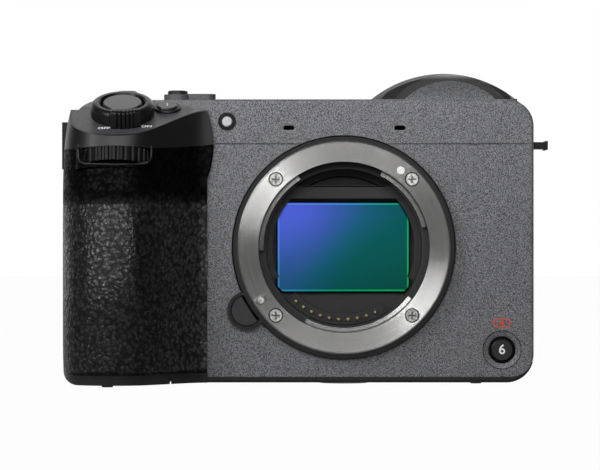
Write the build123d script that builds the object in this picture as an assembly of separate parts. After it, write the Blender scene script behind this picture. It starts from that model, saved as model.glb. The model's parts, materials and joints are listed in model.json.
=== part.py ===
from build123d import *

import os
from math import cos, hypot, radians, sin, tan

# A compact full-frame cinema camera with a side grip, a bayonet mount, a tilting eyepiece and a
# side-hinged monitor. Millimetres, X to the right seen from the front, Y to the rear, Z up. The origin
# is the mouth of the tripod socket, straight under the lens axis.

# General
overrun = 4.0  # how far a cutter runs past the face that it cuts
fit_gap = 0.3  # between pieces that move against each other
pin_gap = 0.05  # round a pin or a stem
seam_gap = 0.2  # hairline between two covers
quarter = 90
full_turn = 360
half = 0.5
groove_share = 0.7  # part of a rib's pitch that its groove takes

# Body shell
body_left = -73.9
body_right = 51.9
body_front = -10.0
body_rear = 36.0
body_top = 77.8
plate_low = 0.4
wall = 1.6
top_corner_round = 7.3
foot_corner_round = 7.4
grip_corner_round = 5.2
front_edge_round = 0.8
rear_edge_round = 1.4
seam_z = 65.6
plate_thick = 1.6
plate_lip = 4.0
cover_corner_round = 6.3
front_plate_depth = 2.0
rear_plate_depth = 3.0
core_x = -46.0
cover_low = plate_low + plate_thick
front_split_y = body_front + front_plate_depth
rear_split_y = body_rear - rear_plate_depth
roof_low = body_top - wall

# Grip
grip_edge_x = -37.3
grip_edge_swing = 1.8
grip_edge_swing_z = 65.0
grip_edge_low_z = 56.0
grip_edge_top_z = 74.6
grip_top_left = -74.3
grip_left = -76.8
grip_bulge_y = -34.0
grip_ridge_y = -25.2
ridge_z = 67.9
plateau_angle = 25
plateau_end_slant = 2.5
plateau_rim = 0.6
flange_thick = 0.9
rubber_thick = 1.0
grip_wall = 2.6
side_y = 4.0
side_rear_x = -74.1
shelf_z = 74.9
shelf_thick = 2.0
shelf_reach = 5.0
nose_y = -8.0
rubber_low = 3.0
rubber_side_y = 3.0
rubber_top_left = 64.2
rubber_top_dial = 63.8
rubber_top_right = 65.7
grip_stations_share = (
    (0, 0), (0.06, 0.003), (0.16, 0.135), (0.265, 0.40), (0.395, 0.745),
    (0.512, 0.95), (0.65, 1), (0.80, 0.93), (0.905, 0.75), (0.975, 0.38),
)
# How far each level, from the foot up, swells from the ridge to the bulge and spreads to the left
grip_levels_share = (
    (0.66, 0.90), (0.72, 0.97), (0.79, 1), (0.865, 1), (0.93, 1), (0.98, 1), (1, 1),
    (0.93, 1), (0.71, 1), (0.47, 1), (0.32, 0.95), (0.17, 0.80), (0.05, 0.45), (0, -0.1),
)

# Lens mount
lens_z = 37.34
flange_y = -14.0
ring_radius = 29.0
ring_bore = 23.35
ring_thick = 3.2
ring_edge = 0.35
tab_bore = 21.93
tab_front = 1.4
tab_thick = 1.4
tab_groove = 0.45
tab_groove_deep = 0.6
ring_relief = 0.35
tab_spans = ((122.6, 182.0), (14.2, 63.1), (242.5, 322.7))
screw_circle = 26.2
screw_angles = (45, 135, 225, 315)
screw_head = 1.65
screw_seat_gap = 0.25
screw_head_deep = 1.0
screw_shank = 0.8
screw_long = 6.0
index_circle = 26.05
index_angle = 53.6
index_radius = 1.1
index_deep = 0.15
lock_circle = 26.7
lock_angle = 212.2
lock_radius = 1.17
lock_proud = 1.2
lock_flange = 2.0
lock_flange_thick = 0.9
lock_travel = 1.5
bezel_bore = 29.1
bezel_radius = 30.6
bezel_proud = 1.0
bezel_edge = 0.4
bezel_groove = 29.75
bezel_groove_wide = 0.25
bezel_groove_deep = 0.35
release_circle = 31.7
release_angle = 213
release_radius = 4.0
release_proud = 2.6
release_travel = 1.8
release_stem = 1.5
guard_radius = 5.25
guard_bore = 4.3
guard_proud = 1.4
throat_radius = 22.9
throat_bore = 21.4
throat_flange = 28.6
throat_flange_thick = 2.3
throat_floor_y = -3.2
throat_floor_thick = 1.3
window_wide = 38.6
window_high = 26.8
window_corner = 1.6
baffle_high = 3.5
baffle_proud = 1.9
throat_step = 1.8
throat_step_proud = 1.4
throat_step_span = (-25, 205)
contact_circle = 19.67
contact_count = 10
contact_first = -41.6
contact_step = 7.5
contact_pin = 0.45
contact_proud = 1.0
contact_travel = 0.6
contact_inner = 18.3
contact_outer = 21.2
contact_start = -47
contact_end = 33
contact_face_y = -8.0
contact_floor = 0.5

# Shutter
shutter_front_y = -2.7
shutter_thick = 2.9
shutter_side = 2.2
shutter_wide = window_wide + shutter_side * 2
shutter_top = 62.4
shutter_skin = 0.5
shutter_rim = 1.2
blade_count = 3
blade_thick = 0.25
blade_pitch = 0.6
blade_high = 9.8
blade_side_gap = 0.2

# Sensor and stabiliser
sensor_wide = 36.8
sensor_high = 25.0
sensor_corner = 1.4
sensor_front_y = 1.6
sensor_thick = 2.0
carriage_thick = 3.0
carriage_wide = 43.0
carriage_high = 33.0
carriage_corner = 3.0
carriage_lip = 2.2
cross_gap = 0.3
cross_thick = 1.4
cross_wide = 40.0
cross_high = 30.0
cross_open_wide = 26.0
cross_open_high = 17.0
cross_pad = 1.5
cross_pad_inset = 3.2
stabiliser_travel = 1.2

# Chassis
chassis_gap = 0.1
chassis_plate = 2.0
chassis_right_gap = 0.4
chassis_top = 64.4
chassis_hole = 24.0
chassis_rib = 2.0
chassis_rib_gap = 3.5
chassis_rib_x = shutter_wide * half + chassis_rib_gap
chassis_rib_low = 14.0
chassis_rib_high = 62.0
base_plate_y = 8.9
base_open_wide = 24.0
base_open_high = 16.0
floor_gap = 0.2
floor_thick = 1.8
board_post = 2.2
board_y = 14.0

# Electronics
board_thick = 1.6
board_left = -43.0
board_right = 44.0
board_low = 5.0
board_high = 58.0
board_post_inset = 4.0
chip_thick = 1.3
chip_wide = 15.0
chip_x = -14.0
chip_z = 34.0
cage_left = -71.5
cage_right = -40.0
cage_low = 20.0
cage_high = 46.0
cage_front_y = 21.5
cage_rear_y = 29.3
cage_wall = 0.8
cage_shelf = 1.0
cage_board = 0.9
link_wide = 6.0
link_high = 10.0
socket_board_x = 38.5
socket_board_y = -5.0
socket_board_thick = 1.4
jack_bore = 1.75
jack_wall = 1.3
jack_deep = 10.0
jack_y = 2.0
jack_z = (45.0, 55.0)
socket_y = 2.0
socket_shell = 0.8
hdmi_wide = 4.6
hdmi_high = 14.0
hdmi_z = 29.0
usb_wide = 2.8
usb_high = 8.6
usb_z = 15.0
fan_x = 33.0
fan_z = 34.0
fan_radius = 13.0
fan_hub = 4.5
fan_blades = 9
fan_blade_thick = 1.0
fan_blade_lean = 35
fan_front_y = 16.0
fan_deep = 11.0
fan_skin = 1.0
fan_case_gap = 1.2
fan_case_reach = 15.5
fan_spindle = 1.0
fan_floor_gap = 0.5

# Battery
battery_left = -72.5
battery_wide = 22.7
battery_deep = 38.7
battery_high = 51.7
battery_front_y = -18.5
battery_low = 2.6
battery_edge = 1.2
battery_door_margin = 1.2
battery_door_hinge_x = -47.9
battery_knuckle = 0.8
battery_latch_wide = 9.0
battery_latch_deep = 5.0
battery_latch_thick = 1.0
battery_latch_travel = 1.2
battery_latch_inset = 1.2

# Bottom
tripod_radius = 5.0
tripod_flange = 6.5
tripod_flange_thick = 1.0
tripod_bore = 2.55
tripod_deep = 6.4
nub_radius = 1.5
nub_spots = ((-63.5, -29.5), (36.3, -4.5), (-58.0, 31.0), (36.3, 31.0))

# Control plateau
switch_x = -60.2
switch_y = -13.6
switch_base = 8.5
switch_shoulder = 1.7
switch_dish = 0.5
switch_high = 3.8
switch_lift = 0.2
switch_bore = 6.0
switch_lug_wide = 8.2
switch_lug_reach = 1.5
switch_lug_drop = 0.5
switch_rib = 0.35
switch_ribs = 5
switch_skirt = 4.6
switch_skirt_wall = 0.9
switch_skirt_deep = 1.4
switch_collar = 0.5
shutter_cap = 5.6
shutter_cap_low = 1.7
shutter_cap_top = 3.9
shutter_dish = 0.4
shutter_stem = 2.2
shutter_foot = 4.1
shutter_foot_thick = 0.7
shutter_foot_low = 3.6
shutter_travel = 0.8
custom_x = -48.2
custom_y = -9.5
custom_bezel = 3.6
custom_bezel_high = 0.6
custom_cap = 2.8
custom_high = 1.2
custom_foot = 3.3
custom_foot_thick = 0.6
custom_travel = 0.4

# Front dial
dial_x = -61.75
dial_y = -20.8
dial_z = 60.9
dial_radius = 9.5
dial_thick = 3.8
dial_lean = 12
dial_ribs = 30
dial_rib_deep = 0.45
dial_axle = 1.5
dial_axle_long = 1.2
dial_gap = 0.45
dial_lip = 1.1
dial_lip_proud = 0.7

# Top deck
deck_x = -46.1
deck_y = 12.0
lever_radius = 3.85
lever_high = 1.9
lever_lift = 0.2
lever_reach = 10.6
lever_arm_wide = 4.4
lever_arm_thick = 2.05
lever_bore = 2.95
lever_sleeve = 3.35
record_cap = 2.8
record_high = 3.2
deck_foot = 3.4
deck_foot_thick = 0.7
deck_travel = 0.5
second_x = -60.2
second_cap = 2.75
second_high = 3.1
second_collar = 3.7
second_collar_high = 1.6
insert_radius = 4.6
insert_bore = 2.55
insert_deep = 5.5
insert_spots = ((-22.0, 8.0), (24.0, 3.0))
shoe_x = -0.6
shoe_inner_wide = 18.8
shoe_mouth_wide = 12.7
shoe_high = 2.1
shoe_lip = 1.9
shoe_side = 1.1
shoe_floor = 1.0
shoe_front_y = 7.0
shoe_long = 21.0
shoe_proud = 0.2
shoe_stop = 2.0
shoe_boss = 1.5
lamp_x = -31.9
lamp_z = 71.7
lamp_radius = 2.45
lamp_lens = 1.3
lamp_deep = 2.4
lamp_proud = 0.3
tally_x = 42.45
tally_z = 75.8
tally_wide = 1.1
tally_deep = 1.3
mic_x = (-15.0, 15.3)
mic_z = 70.0
mic_wide = 3.1
mic_high = 1.3

# Front record button
record_x = 43.2
record_z = 9.36
front_record_cap = 2.85
front_record_hole = 3.74
front_record_dish = 5.26
front_record_dish_deep = 0.55
front_record_proud = 0.2
front_record_foot = 4.4
front_record_travel = 0.5

# Strap lugs
lug_z = 65.7
lug_thick = 1.8
lug_reach = 5.2
lug_wide = 12.0
lug_y = 9.0
lug_slot_wide = 8.0
lug_slot_deep = 2.6
lug_slot_start = 1.3
lug_rim = 0.7
lug_rim_high = 2.4
lug_root = 2.4
side_lug_x = -78.0
side_lug_thick = 1.6
side_lug_y = 5.5
side_lug_deep = 9.0
side_lug_low = 59.0
side_lug_high = 72.0
side_slot_deep = 3.0
side_slot_margin = 2.0
side_slot_hollow = 1.2

# Port side
port_wall = 1.4
door_hinge_y = -6.2
door_hinge_inset = 0.7
door_end_round = 0.68
door_long = 16.0
door_gap = 0.25
audio_low = 40.5
audio_high = 60.5
digital_low = 9.0
digital_high = 38.5
vent_low = 12.0
vent_high = 56.0
vent_y = 14.0
vent_slots = 5
vent_slot_wide = 1.4
vent_pitch = 2.8

# Card door in the grip side, measured back along the side from where it turns straight
card_start = 13.0
card_end = 26.6
card_low = 15.0
card_high = 51.0
card_thick = 2.0
card_barrel = 1.0

# Monitor
monitor_left = -26.7
monitor_right = 45.4
monitor_low = 4.0
monitor_high = 59.6
monitor_front_y = 32.3
monitor_rear_y = 38.3
monitor_corner = 2.5
monitor_edge = 0.6
monitor_margin = 0.5
recess_floor_y = 31.9
recess_wall = 1.4
glass_margin = 1.6
glass_thick = 0.8
monitor_axis_inset = 2.6
monitor_axis_y = 35.8
arm_low = 24.2
arm_high = 39.8
arm_half_thick = 2.2
arm_knuckle = 2.5
arm_gap = 0.45
arm_pin = 1.2
arm_pin_long = 2.4
arm_pivot = 1.6
arm_pivot_long = 5.0
rail_left = 46.5
rail_proud = 2.0

# Eyepiece
eye_x = 30.5
eye_pivot_y = 33.5
eye_pivot_z = 75.0
eye_front_radius = 11.5
eye_half_wide = 18.2
eye_cavity_gap = 0.3
eye_well_wall = 1.4
eye_arch_radius = 20.7
eye_arch_z = 65.8
eye_cap_radius = 18.3
eye_cap_z = 66.1
eye_cap_rear_y = 27.5
eye_low = 61.2
eye_slope_y = 37.2
eye_body_rear_y = 53.0
eye_pin = 2.0
eye_pin_long = 2.3
eye_ear = 3.1
cup_front_y = 49.0
cup_rear_y = 69.7
cup_half_wide = 24.0
cup_top_radius = 34.0
cup_top_z = 88.4
cup_low = 61.4
cup_corner = 5.0
cup_front_half_wide = 19.2
cup_front_top_z = 86.8
cup_wall = 2.6
cup_bore_half_wide = 14.5
cup_bore_top_z = 83.3
cup_bore_low = 65.6
eye_lens_half_wide = 12.5
eye_lens_high = 15.0
eye_lens_thick = 2.0
eye_lens_inset = 1.2
eye_tunnel_deep = 3.0
diopter_y = 43.0
diopter_z = 76.0
diopter_radius = 4.0
diopter_thick = 1.8
diopter_stem = 1.4
diopter_stem_long = 2.0
diopter_ribs = 16

# Rear controls
rear_dial_x = -62.5
rear_dial_y = 28.6
rear_dial_z = 71.2
rear_dial_radius = 9.0
rear_dial_thick = 4.2
rear_dial_ribs = 28
thumb_left = -73.0
thumb_right = -60.5
thumb_low = 36.0
thumb_high = 65.0
thumb_proud = 6.5
thumb_round = 1.6
focus_spot = (-47.5, 60.0)
menu_spot = (-57.0, 13.5)
playback_spot = (-38.0, 13.5)
rear_cap = 2.9
rear_cap_proud = 1.1
rear_foot = 3.5
rear_foot_thick = 0.7
rear_travel = 0.5
wheel_x = -47.5
wheel_z = 32.5
wheel_radius = 10.8
wheel_bore = 5.0
wheel_thick = 1.7
wheel_sunk = 0.7
wheel_hub = 5.9
wheel_hub_long = 2.2
wheel_ribs = 36
wheel_rib_deep = 0.3
wheel_cap = 4.6
wheel_cap_proud = 1.4
wheel_cap_foot = 5.4
stick_x = -36.3
stick_z = 51.0
stick_pivot_y = 33.4
stick_head = 3.3
stick_head_gap = 0.9
stick_head_thick = 1.7
stick_stem = 1.1
stick_ball = 1.7
stick_ring = 3.1
stick_ring_bore = 2.3
stick_ring_thick = 1.2
stick_hole = 2.9
stick_boss = 4.6
stick_boss_bore = 3.4
stick_pin = 0.5
stick_pin_reach = 0.8
stick_sway_pin = 0.3

# Places that follow from the sizes above
plateau_slope = tan(radians(plateau_angle))
plateau_top_y = grip_ridge_y + (body_top - ridge_z) / plateau_slope
ring_rear_y = flange_y + ring_thick
chassis_front_y = body_front + wall + chassis_gap
monitor_axis_x = body_right - monitor_axis_inset
door_hinge_x = body_right - door_hinge_inset
sensor_rear_y = sensor_front_y + sensor_thick
carriage_rear_y = sensor_rear_y + carriage_thick
window_low = lens_z - window_high * half
window_top = lens_z + window_high * half


def block(x_low, x_high, y_low, y_high, z_low, z_high):
    # A block between two opposite corners
    middle = ((x_low + x_high) * half, (y_low + y_high) * half, (z_low + z_high) * half)
    return Pos(*middle) * Box(x_high - x_low, y_high - y_low, z_high - z_low)


def along_x(sketch, x_low, x_high):
    return extrude(Plane.YZ.offset(x_low) * sketch, amount=x_high - x_low, dir=(1, 0, 0))


def along_y(sketch, y_low, y_high):
    return extrude(Plane.XZ.offset(-y_low) * sketch, amount=y_high - y_low, dir=(0, 1, 0))


def along_z(sketch, z_low, z_high):
    return extrude(Plane.XY.offset(z_low) * sketch, amount=z_high - z_low, dir=(0, 0, 1))


def disc(radius, bore=0):
    return Circle(radius) - Circle(bore) if bore else Circle(radius)


def outline(*points):
    return make_face(Polyline(*points, close=True))


def rounded_rectangle(low, high, rounds):
    # Corner rounds go anticlockwise from the low left corner
    corners = ((low[0], low[1]), (high[0], low[1]), (high[0], high[1]), (low[0], high[1]))
    face = outline(*corners)
    for corner, radius in zip(corners, rounds):
        if radius > 0:
            face = fillet(face.vertices().sort_by_distance(corner)[0], radius)
    return face


def even_rounds(radius):
    return (radius, radius, radius, radius)


def centred_plate(wide, high, corner):
    # A rounded plate about the lens axis
    return Pos(0, lens_z) * RectangleRounded(wide, high, corner)


def polar_spot(radius, angle, centre=(0, lens_z)):
    return (centre[0] + radius * cos(radians(angle)), centre[1] + radius * sin(radians(angle)))


def rod_y(spot, radius, y_low, y_high):
    return along_y(Pos(*spot) * Circle(radius), y_low, y_high)


def sector(inner, outer, start, end):
    # A stretch of a ring about the lens axis, from one angle to another
    first, last = polar_spot(inner, start), polar_spot(outer, end)
    middle = (start + end) * half
    edges = (
        Line(first, polar_spot(outer, start)),
        ThreePointArc(polar_spot(outer, start), polar_spot(outer, middle), last),
        Line(last, polar_spot(inner, end)),
        ThreePointArc(polar_spot(inner, end), polar_spot(inner, middle), first),
    )
    return make_face(Curve() + list(edges))


def ribbed_disc(radius, ribs, rib_deep, bore=0):
    # A wheel outline with rounded grooves between its ribs
    groove = radius * sin(radians(full_turn / ribs * half)) * groove_share
    notches = PolarLocations(radius + groove - rib_deep, ribs) * Circle(groove)
    face = Circle(radius) - notches
    return face - Circle(bore) if bore else face


def plateau_z(y):
    return ridge_z + (y - grip_ridge_y) * plateau_slope


def plateau_plane(x, y):
    lean = radians(plateau_angle)
    return Plane(origin=(x, y, plateau_z(y)), x_dir=(1, 0, 0), z_dir=(0, -sin(lean), cos(lean)))


# Body shell and grip forms


def body_block(inset):
    rounds = (grip_corner_round, foot_corner_round, top_corner_round, top_corner_round)
    face = rounded_rectangle(
        (body_left + inset, plate_low + inset),
        (body_right - inset, body_top - inset),
        [radius - inset for radius in rounds],
    )
    solid = along_y(face, body_front + inset, body_rear - inset)
    if inset == 0:
        solid = fillet(solid.faces().sort_by(Axis.Y)[0].edges(), front_edge_round)
        solid = fillet(solid.faces().sort_by(Axis.Y)[-1].edges(), rear_edge_round)
    return solid


def grip_front_points(swell, spread, inset):
    # Plan of the grip's front at one level, from the lens side round to the straight left side
    left = grip_top_left + spread * (grip_left - grip_top_left) + inset
    crest = grip_ridge_y + swell * (grip_bulge_y - grip_ridge_y) + inset
    right = grip_edge_x + grip_edge_swing
    base = body_front - flange_thick + inset
    points = [
        (right + across * (left - right), base + depth * (crest - base))
        for across, depth in grip_stations_share
    ]
    return points + [(left, side_y)]


def run_lengths(points):
    runs = [0]
    for first, second in zip(points, points[1:]):
        runs.append(runs[-1] + hypot(second[0] - first[0], second[1] - first[1]))
    return runs


def grip_section(height, swell, spread, inset):
    front = grip_front_points(swell, spread, inset)
    left, right = front[-1][0], front[0][0]
    end_y = rear_split_y + (overrun if inset else 0)
    slant = (side_rear_x - grip_left) / (rear_split_y - side_y)
    rear = (left + (end_y - side_y) * slant, end_y)
    total = run_lengths(front)[-1]
    # Every level shares the stations of the fullest one, so the loft stays smooth
    stations = run_lengths(grip_front_points(1, 1, 0))
    side = Edge.make_spline(
        [Vector(*point) for point in front],
        tangents=[Vector(-total, 0), Vector(0, total)],
        parameters=[station / stations[-1] for station in stations],
        scale=False,
    )
    back = Polyline((left, side_y), rear, (right, end_y), front[0])
    return Pos(0, 0, height) * make_face(Curve() + [side] + back.edges())


def grip_form(inset):
    rise = (body_top - plate_low) / (len(grip_levels_share) - 1)
    sections = [
        grip_section(plate_low + level * rise, swell, spread, inset)
        for level, (swell, spread) in enumerate(grip_levels_share)
    ]
    return loft(sections)


def grip_front():
    # Outline from the front: rounded lower corner and the edge that swings towards the lens at the seam
    high = body_top + overrun
    face = rounded_rectangle(
        (grip_left - overrun, plate_low), (grip_edge_x, high), (grip_corner_round + overrun * half, 0, 0, 0)
    )
    crest = (grip_edge_x + grip_edge_swing, grip_edge_swing_z)
    end = (grip_edge_x, grip_edge_top_z)
    swing = Spline((grip_edge_x, grip_edge_low_z), crest, end)
    return face + make_face(Curve() + [swing, Line(end, (grip_edge_x, grip_edge_low_z))])


def grip_corner():
    # Rounds the lower left corner of everything in the grip
    return along_y(
        rounded_rectangle(
            (grip_left, plate_low),
            (body_right + overrun, body_top + overrun),
            (grip_corner_round, 0, 0, 0),
        ),
        grip_bulge_y - overrun,
        body_rear + overrun,
    )


def above_plateau(depth, end_x):
    # All that lies over the sloped plateau, lowered square to its face by depth
    drop = depth / cos(radians(plateau_angle))
    front = grip_bulge_y - overrun
    rear = plateau_top_y + overrun * 3
    low, high = plateau_z(front) - drop, plateau_z(rear) - drop
    prism = along_x(outline((front, low), (rear, high), (front, high)), body_left - overrun * 3, body_right)
    side = outline(
        (body_left - overrun * 2, low),
        (end_x, low),
        (end_x, grip_edge_top_z),
        (end_x + plateau_end_slant, body_top),
        (end_x + plateau_end_slant, high + overrun),
        (body_left - overrun * 2, high + overrun),
    )
    return prism & along_y(side, front - overrun, rear + overrun)


def below_plateau(depth, end_x):
    # All that lies in the grip nose under the plateau, lowered by depth
    drop = depth / cos(radians(plateau_angle))
    front = grip_bulge_y - overrun
    rear = plateau_top_y + depth
    low = seam_z - overrun
    face = outline(
        (front, plateau_z(front) - drop), (rear, plateau_z(rear) - drop), (rear, low), (front, low)
    )
    if plateau_z(front) - drop < low:
        start = grip_ridge_y + (low + drop - ridge_z) / plateau_slope
        face = outline((start, low), (rear, plateau_z(rear) - drop), (rear, low))
    return along_x(face, body_left - overrun * 2, end_x)


def below_seam():
    # From the front, all that lies under the upper edge of the grip skin
    left, right = grip_left - overrun, grip_edge_x + overrun
    low = plate_low - overrun
    edge = Spline((left, rubber_top_left), (dial_x, rubber_top_dial), (right, rubber_top_right))
    sides = Polyline((right, rubber_top_right), (right, low), (left, low), (left, rubber_top_left))
    return along_y(
        make_face(Curve() + [edge] + sides.edges()), grip_bulge_y - overrun, side_y
    )


body = body_block(0)
body_inner = body_block(wall)
grip_outer = grip_form(0) & along_y(grip_front(), grip_bulge_y - overrun, body_rear) & grip_corner()
grip_middle = grip_form(rubber_thick)
grip_rim = grip_form(plateau_rim)
grip_rim_inner = grip_form(plateau_rim + wall)
grip_inner = grip_form(grip_wall)
core = block(core_x, body_right, body_front, body_rear + overrun, plate_low - overrun, body_top + overrun)


def dial_place():
    lean = radians(dial_lean)
    return Plane(origin=(dial_x, dial_y, dial_z), x_dir=(1, 0, 0), z_dir=(0, sin(lean), cos(lean)))


def centred_rod(radius, long):
    return extrude(Circle(radius), amount=long * half, both=True)


# Covers


def cover_prism():
    # Outline of the grey covers from the front, inside the black bottom plate
    return along_y(
        rounded_rectangle(
            (grip_left - overrun, cover_low),
            (body_right, body_top + overrun),
            (0, cover_corner_round, 0, 0),
        ),
        body_front - overrun,
        body_rear + overrun,
    )


def mount_hole(radius):
    return rod_y((0, lens_z), radius, body_front - overrun, front_split_y + overrun)


def guard_hole():
    spot = polar_spot(release_circle, release_angle)
    return rod_y(spot, guard_radius + pin_gap, body_front - overrun, front_split_y + overrun)


def record_dish():
    # Dished seat round the front record button, with the hole for its cap
    deep = front_record_dish_deep
    dish = Cone(front_record_hole, front_record_dish, deep)
    seat = Plane(origin=(record_x, body_front + deep * half, record_z), z_dir=(0, -1, 0)) * dish
    hole = rod_y((record_x, record_z), front_record_hole, body_front, body_front + wall + overrun)
    return seat + hole


def front_cover():
    shell = body - body_inner
    slab = block(
        core_x, body_right, body_front, front_split_y, cover_low, seam_z - seam_gap * half
    )
    cover = shell & slab & cover_prism()
    cover = cover - mount_hole(bezel_radius + pin_gap) - guard_hole()
    return cover - record_dish()


def deck_stack(spot, collar, high):
    return along_z(Pos(*spot) * Circle(collar), roof_low, body_top + high)


def deck_hole(spot, radius):
    return along_z(Pos(*spot) * Circle(radius), roof_low - overrun * 2, body_top + overrun)


def eye_cavity():
    # Room for the tilting eyepiece: a round well about its pivot, open to the rear
    gap = eye_cavity_gap
    left, right = eye_x - eye_half_wide - gap, eye_x + eye_half_wide + gap
    well = Circle(eye_front_radius + gap)
    well = along_x(Pos(eye_pivot_y, eye_pivot_z) * well, left, right)
    rear = outline(
        (eye_pivot_y, eye_pivot_z - eye_front_radius - gap),
        (eye_slope_y + gap, eye_low - gap * 2),
        (eye_slope_y + gap, body_top + overrun),
        (eye_pivot_y, body_top + overrun),
    )
    return well + along_x(rear, left, right)


def eye_pin_holes():
    reach = eye_half_wide + eye_cavity_gap
    hole = Pos(eye_pivot_y, eye_pivot_z) * Circle(eye_pin + pin_gap)
    long = eye_pin_long + pin_gap
    left = along_x(hole, eye_x - reach - long, eye_x - reach)
    right = along_x(hole, eye_x + reach, eye_x + reach + long)
    return left + right


def eye_well():
    # Walls round the eyepiece room, which drop below the seam at the rear
    reach = eye_half_wide + eye_cavity_gap
    wide = block(
        eye_x - reach - eye_ear + half * pin_gap,
        body_right,
        eye_pivot_y - eye_front_radius - eye_cavity_gap - eye_well_wall,
        body_rear,
        eye_low,
        body_top,
    )
    return wide & body


def eye_window():
    # Where the well takes the place of the rear cover and the port side cover
    reach = eye_half_wide + eye_cavity_gap
    return block(
        eye_x - reach - eye_ear - seam_gap,
        body_right + overrun,
        eye_pivot_y - eye_front_radius - eye_well_wall - eye_cavity_gap - seam_gap,
        body_rear + overrun,
        eye_low - seam_gap,
        body_top + overrun,
    )


def shoe_sizes():
    reach = shoe_inner_wide * half + shoe_side
    floor = body_top + shoe_proud - shoe_lip - shoe_high
    return reach, floor


def shoe_boss_block():
    reach, floor = shoe_sizes()
    return block(
        shoe_x - reach - shoe_boss,
        shoe_x + reach + shoe_boss,
        shoe_front_y - shoe_boss,
        body_rear - rear_edge_round,
        floor - shoe_floor - shoe_boss,
        roof_low,
    )


def shoe_channel():
    # Pocket for the shoe and the open way to it from the rear
    reach, floor = shoe_sizes()
    pocket = block(
        shoe_x - reach,
        shoe_x + reach,
        shoe_front_y,
        shoe_front_y + shoe_long,
        floor - shoe_floor,
        body_top + overrun,
    )
    way = block(
        shoe_x - shoe_inner_wide * half,
        shoe_x + shoe_inner_wide * half,
        shoe_front_y + shoe_long - overrun * half,
        body_rear + overrun,
        floor,
        body_top + overrun,
    )
    return pocket + way


def rear_dial_room():
    return along_z(
        Pos(rear_dial_x, rear_dial_y) * Circle(rear_dial_radius + fit_gap),
        rear_dial_z - rear_dial_thick * half - fit_gap,
        rear_dial_z + rear_dial_thick * half + fit_gap,
    )


def rear_dial_axle():
    return along_z(
        Pos(rear_dial_x, rear_dial_y) * Circle(dial_axle),
        rear_dial_z - rear_dial_thick * half - fit_gap,
        roof_low + pin_gap,
    )


def lug_pocket():
    return block(
        body_right - lug_root,
        body_right + overrun,
        lug_y,
        lug_y + lug_wide,
        lug_z - lug_thick * half,
        lug_z + lug_thick * half,
    )


def top_cover():
    reach = body_front - overrun
    nose = block(body_left - overrun, core_x + overrun * 2, grip_bulge_y, nose_y, seam_z, shelf_z)
    nose_inner = block(
        body_left - overrun, core_x + overrun * 2, grip_bulge_y, nose_y + wall, seam_z - overrun, body_top
    )
    outer = body + (grip_rim & nose)
    outer = outer - above_plateau(0, grip_edge_x)
    inner = body_inner + (grip_rim_inner & nose_inner)
    inner = inner - above_plateau(wall, grip_edge_x + wall)
    cover = (outer - inner) & block(
        body_left - overrun,
        body_right,
        grip_bulge_y,
        body_rear,
        seam_z + seam_gap * half,
        body_top,
    )
    cover = cover - below_plateau(wall, grip_edge_x - seam_gap)
    shelf = block(body_left - overrun, body_left + shelf_reach, reach, rear_split_y, seam_z, shelf_z)
    cover = cover - (shelf - above_plateau(wall, body_right))
    # Collars and bosses
    place = plateau_plane(custom_x, custom_y)
    cover = cover + place * extrude(Circle(custom_bezel), amount=custom_bezel_high)
    cover = cover + deck_stack((second_x, deck_y), second_collar, second_collar_high)
    cover = cover + shoe_boss_block() + eye_well()
    for spot in insert_spots:
        cover = cover + along_z(
            Pos(*spot) * Circle(insert_radius + wall), body_top - insert_deep, roof_low
        )
    # Rooms and holes
    cover = cover - eye_cavity() - eye_pin_holes() - shoe_channel()
    for spot in insert_spots:
        cover = cover - deck_hole(spot, insert_radius)
    through = extrude(Circle(custom_cap + pin_gap * 3), amount=overrun, both=True)
    cover = cover - place * through
    switch = plateau_plane(switch_x, switch_y)
    cover = cover - switch * extrude(Circle(switch_skirt + pin_gap * 2), amount=overrun, both=True)
    cover = cover - deck_hole((deck_x, deck_y), lever_sleeve + pin_gap)
    cover = cover - deck_hole((second_x, deck_y), second_cap + pin_gap * 2)
    cover = cover - mount_hole(bezel_radius + pin_gap) - rear_dial_room() - lug_pocket()
    cover = cover - rod_y((lamp_x, lamp_z), lamp_radius, body_front - overrun, body_front + overrun)
    for x in mic_x:
        slot = Pos(x, mic_z) * SlotOverall(mic_wide, mic_high)
        cover = cover - along_y(slot, body_front - overrun, body_front + overrun)
    return cover - tally_room() + rear_dial_axle()


def tally_room():
    return block(
        tally_x - tally_wide * half,
        tally_x + tally_wide * half,
        body_front - overrun,
        body_front + tally_deep,
        tally_z,
        body_top + overrun,
    )


def monitor_room():
    # Recess for the closed monitor, open towards its hinge
    gap = monitor_margin
    return block(
        monitor_left - gap,
        rail_left,
        recess_floor_y,
        body_rear + overrun,
        monitor_low - gap,
        monitor_high + gap,
    )


def arm_room():
    return block(
        rail_left - overrun,
        body_right + overrun,
        recess_floor_y,
        body_rear + overrun,
        arm_low - arm_gap,
        arm_high + arm_gap,
    )


def arm_pin_rod(radius, long):
    face = Pos(monitor_axis_x, monitor_axis_y) * Circle(radius)
    return along_z(face, arm_low - long, arm_high + long)


def rear_hole(spot, radius):
    return rod_y(spot, radius, rear_split_y - overrun, body_rear + overrun)


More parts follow.
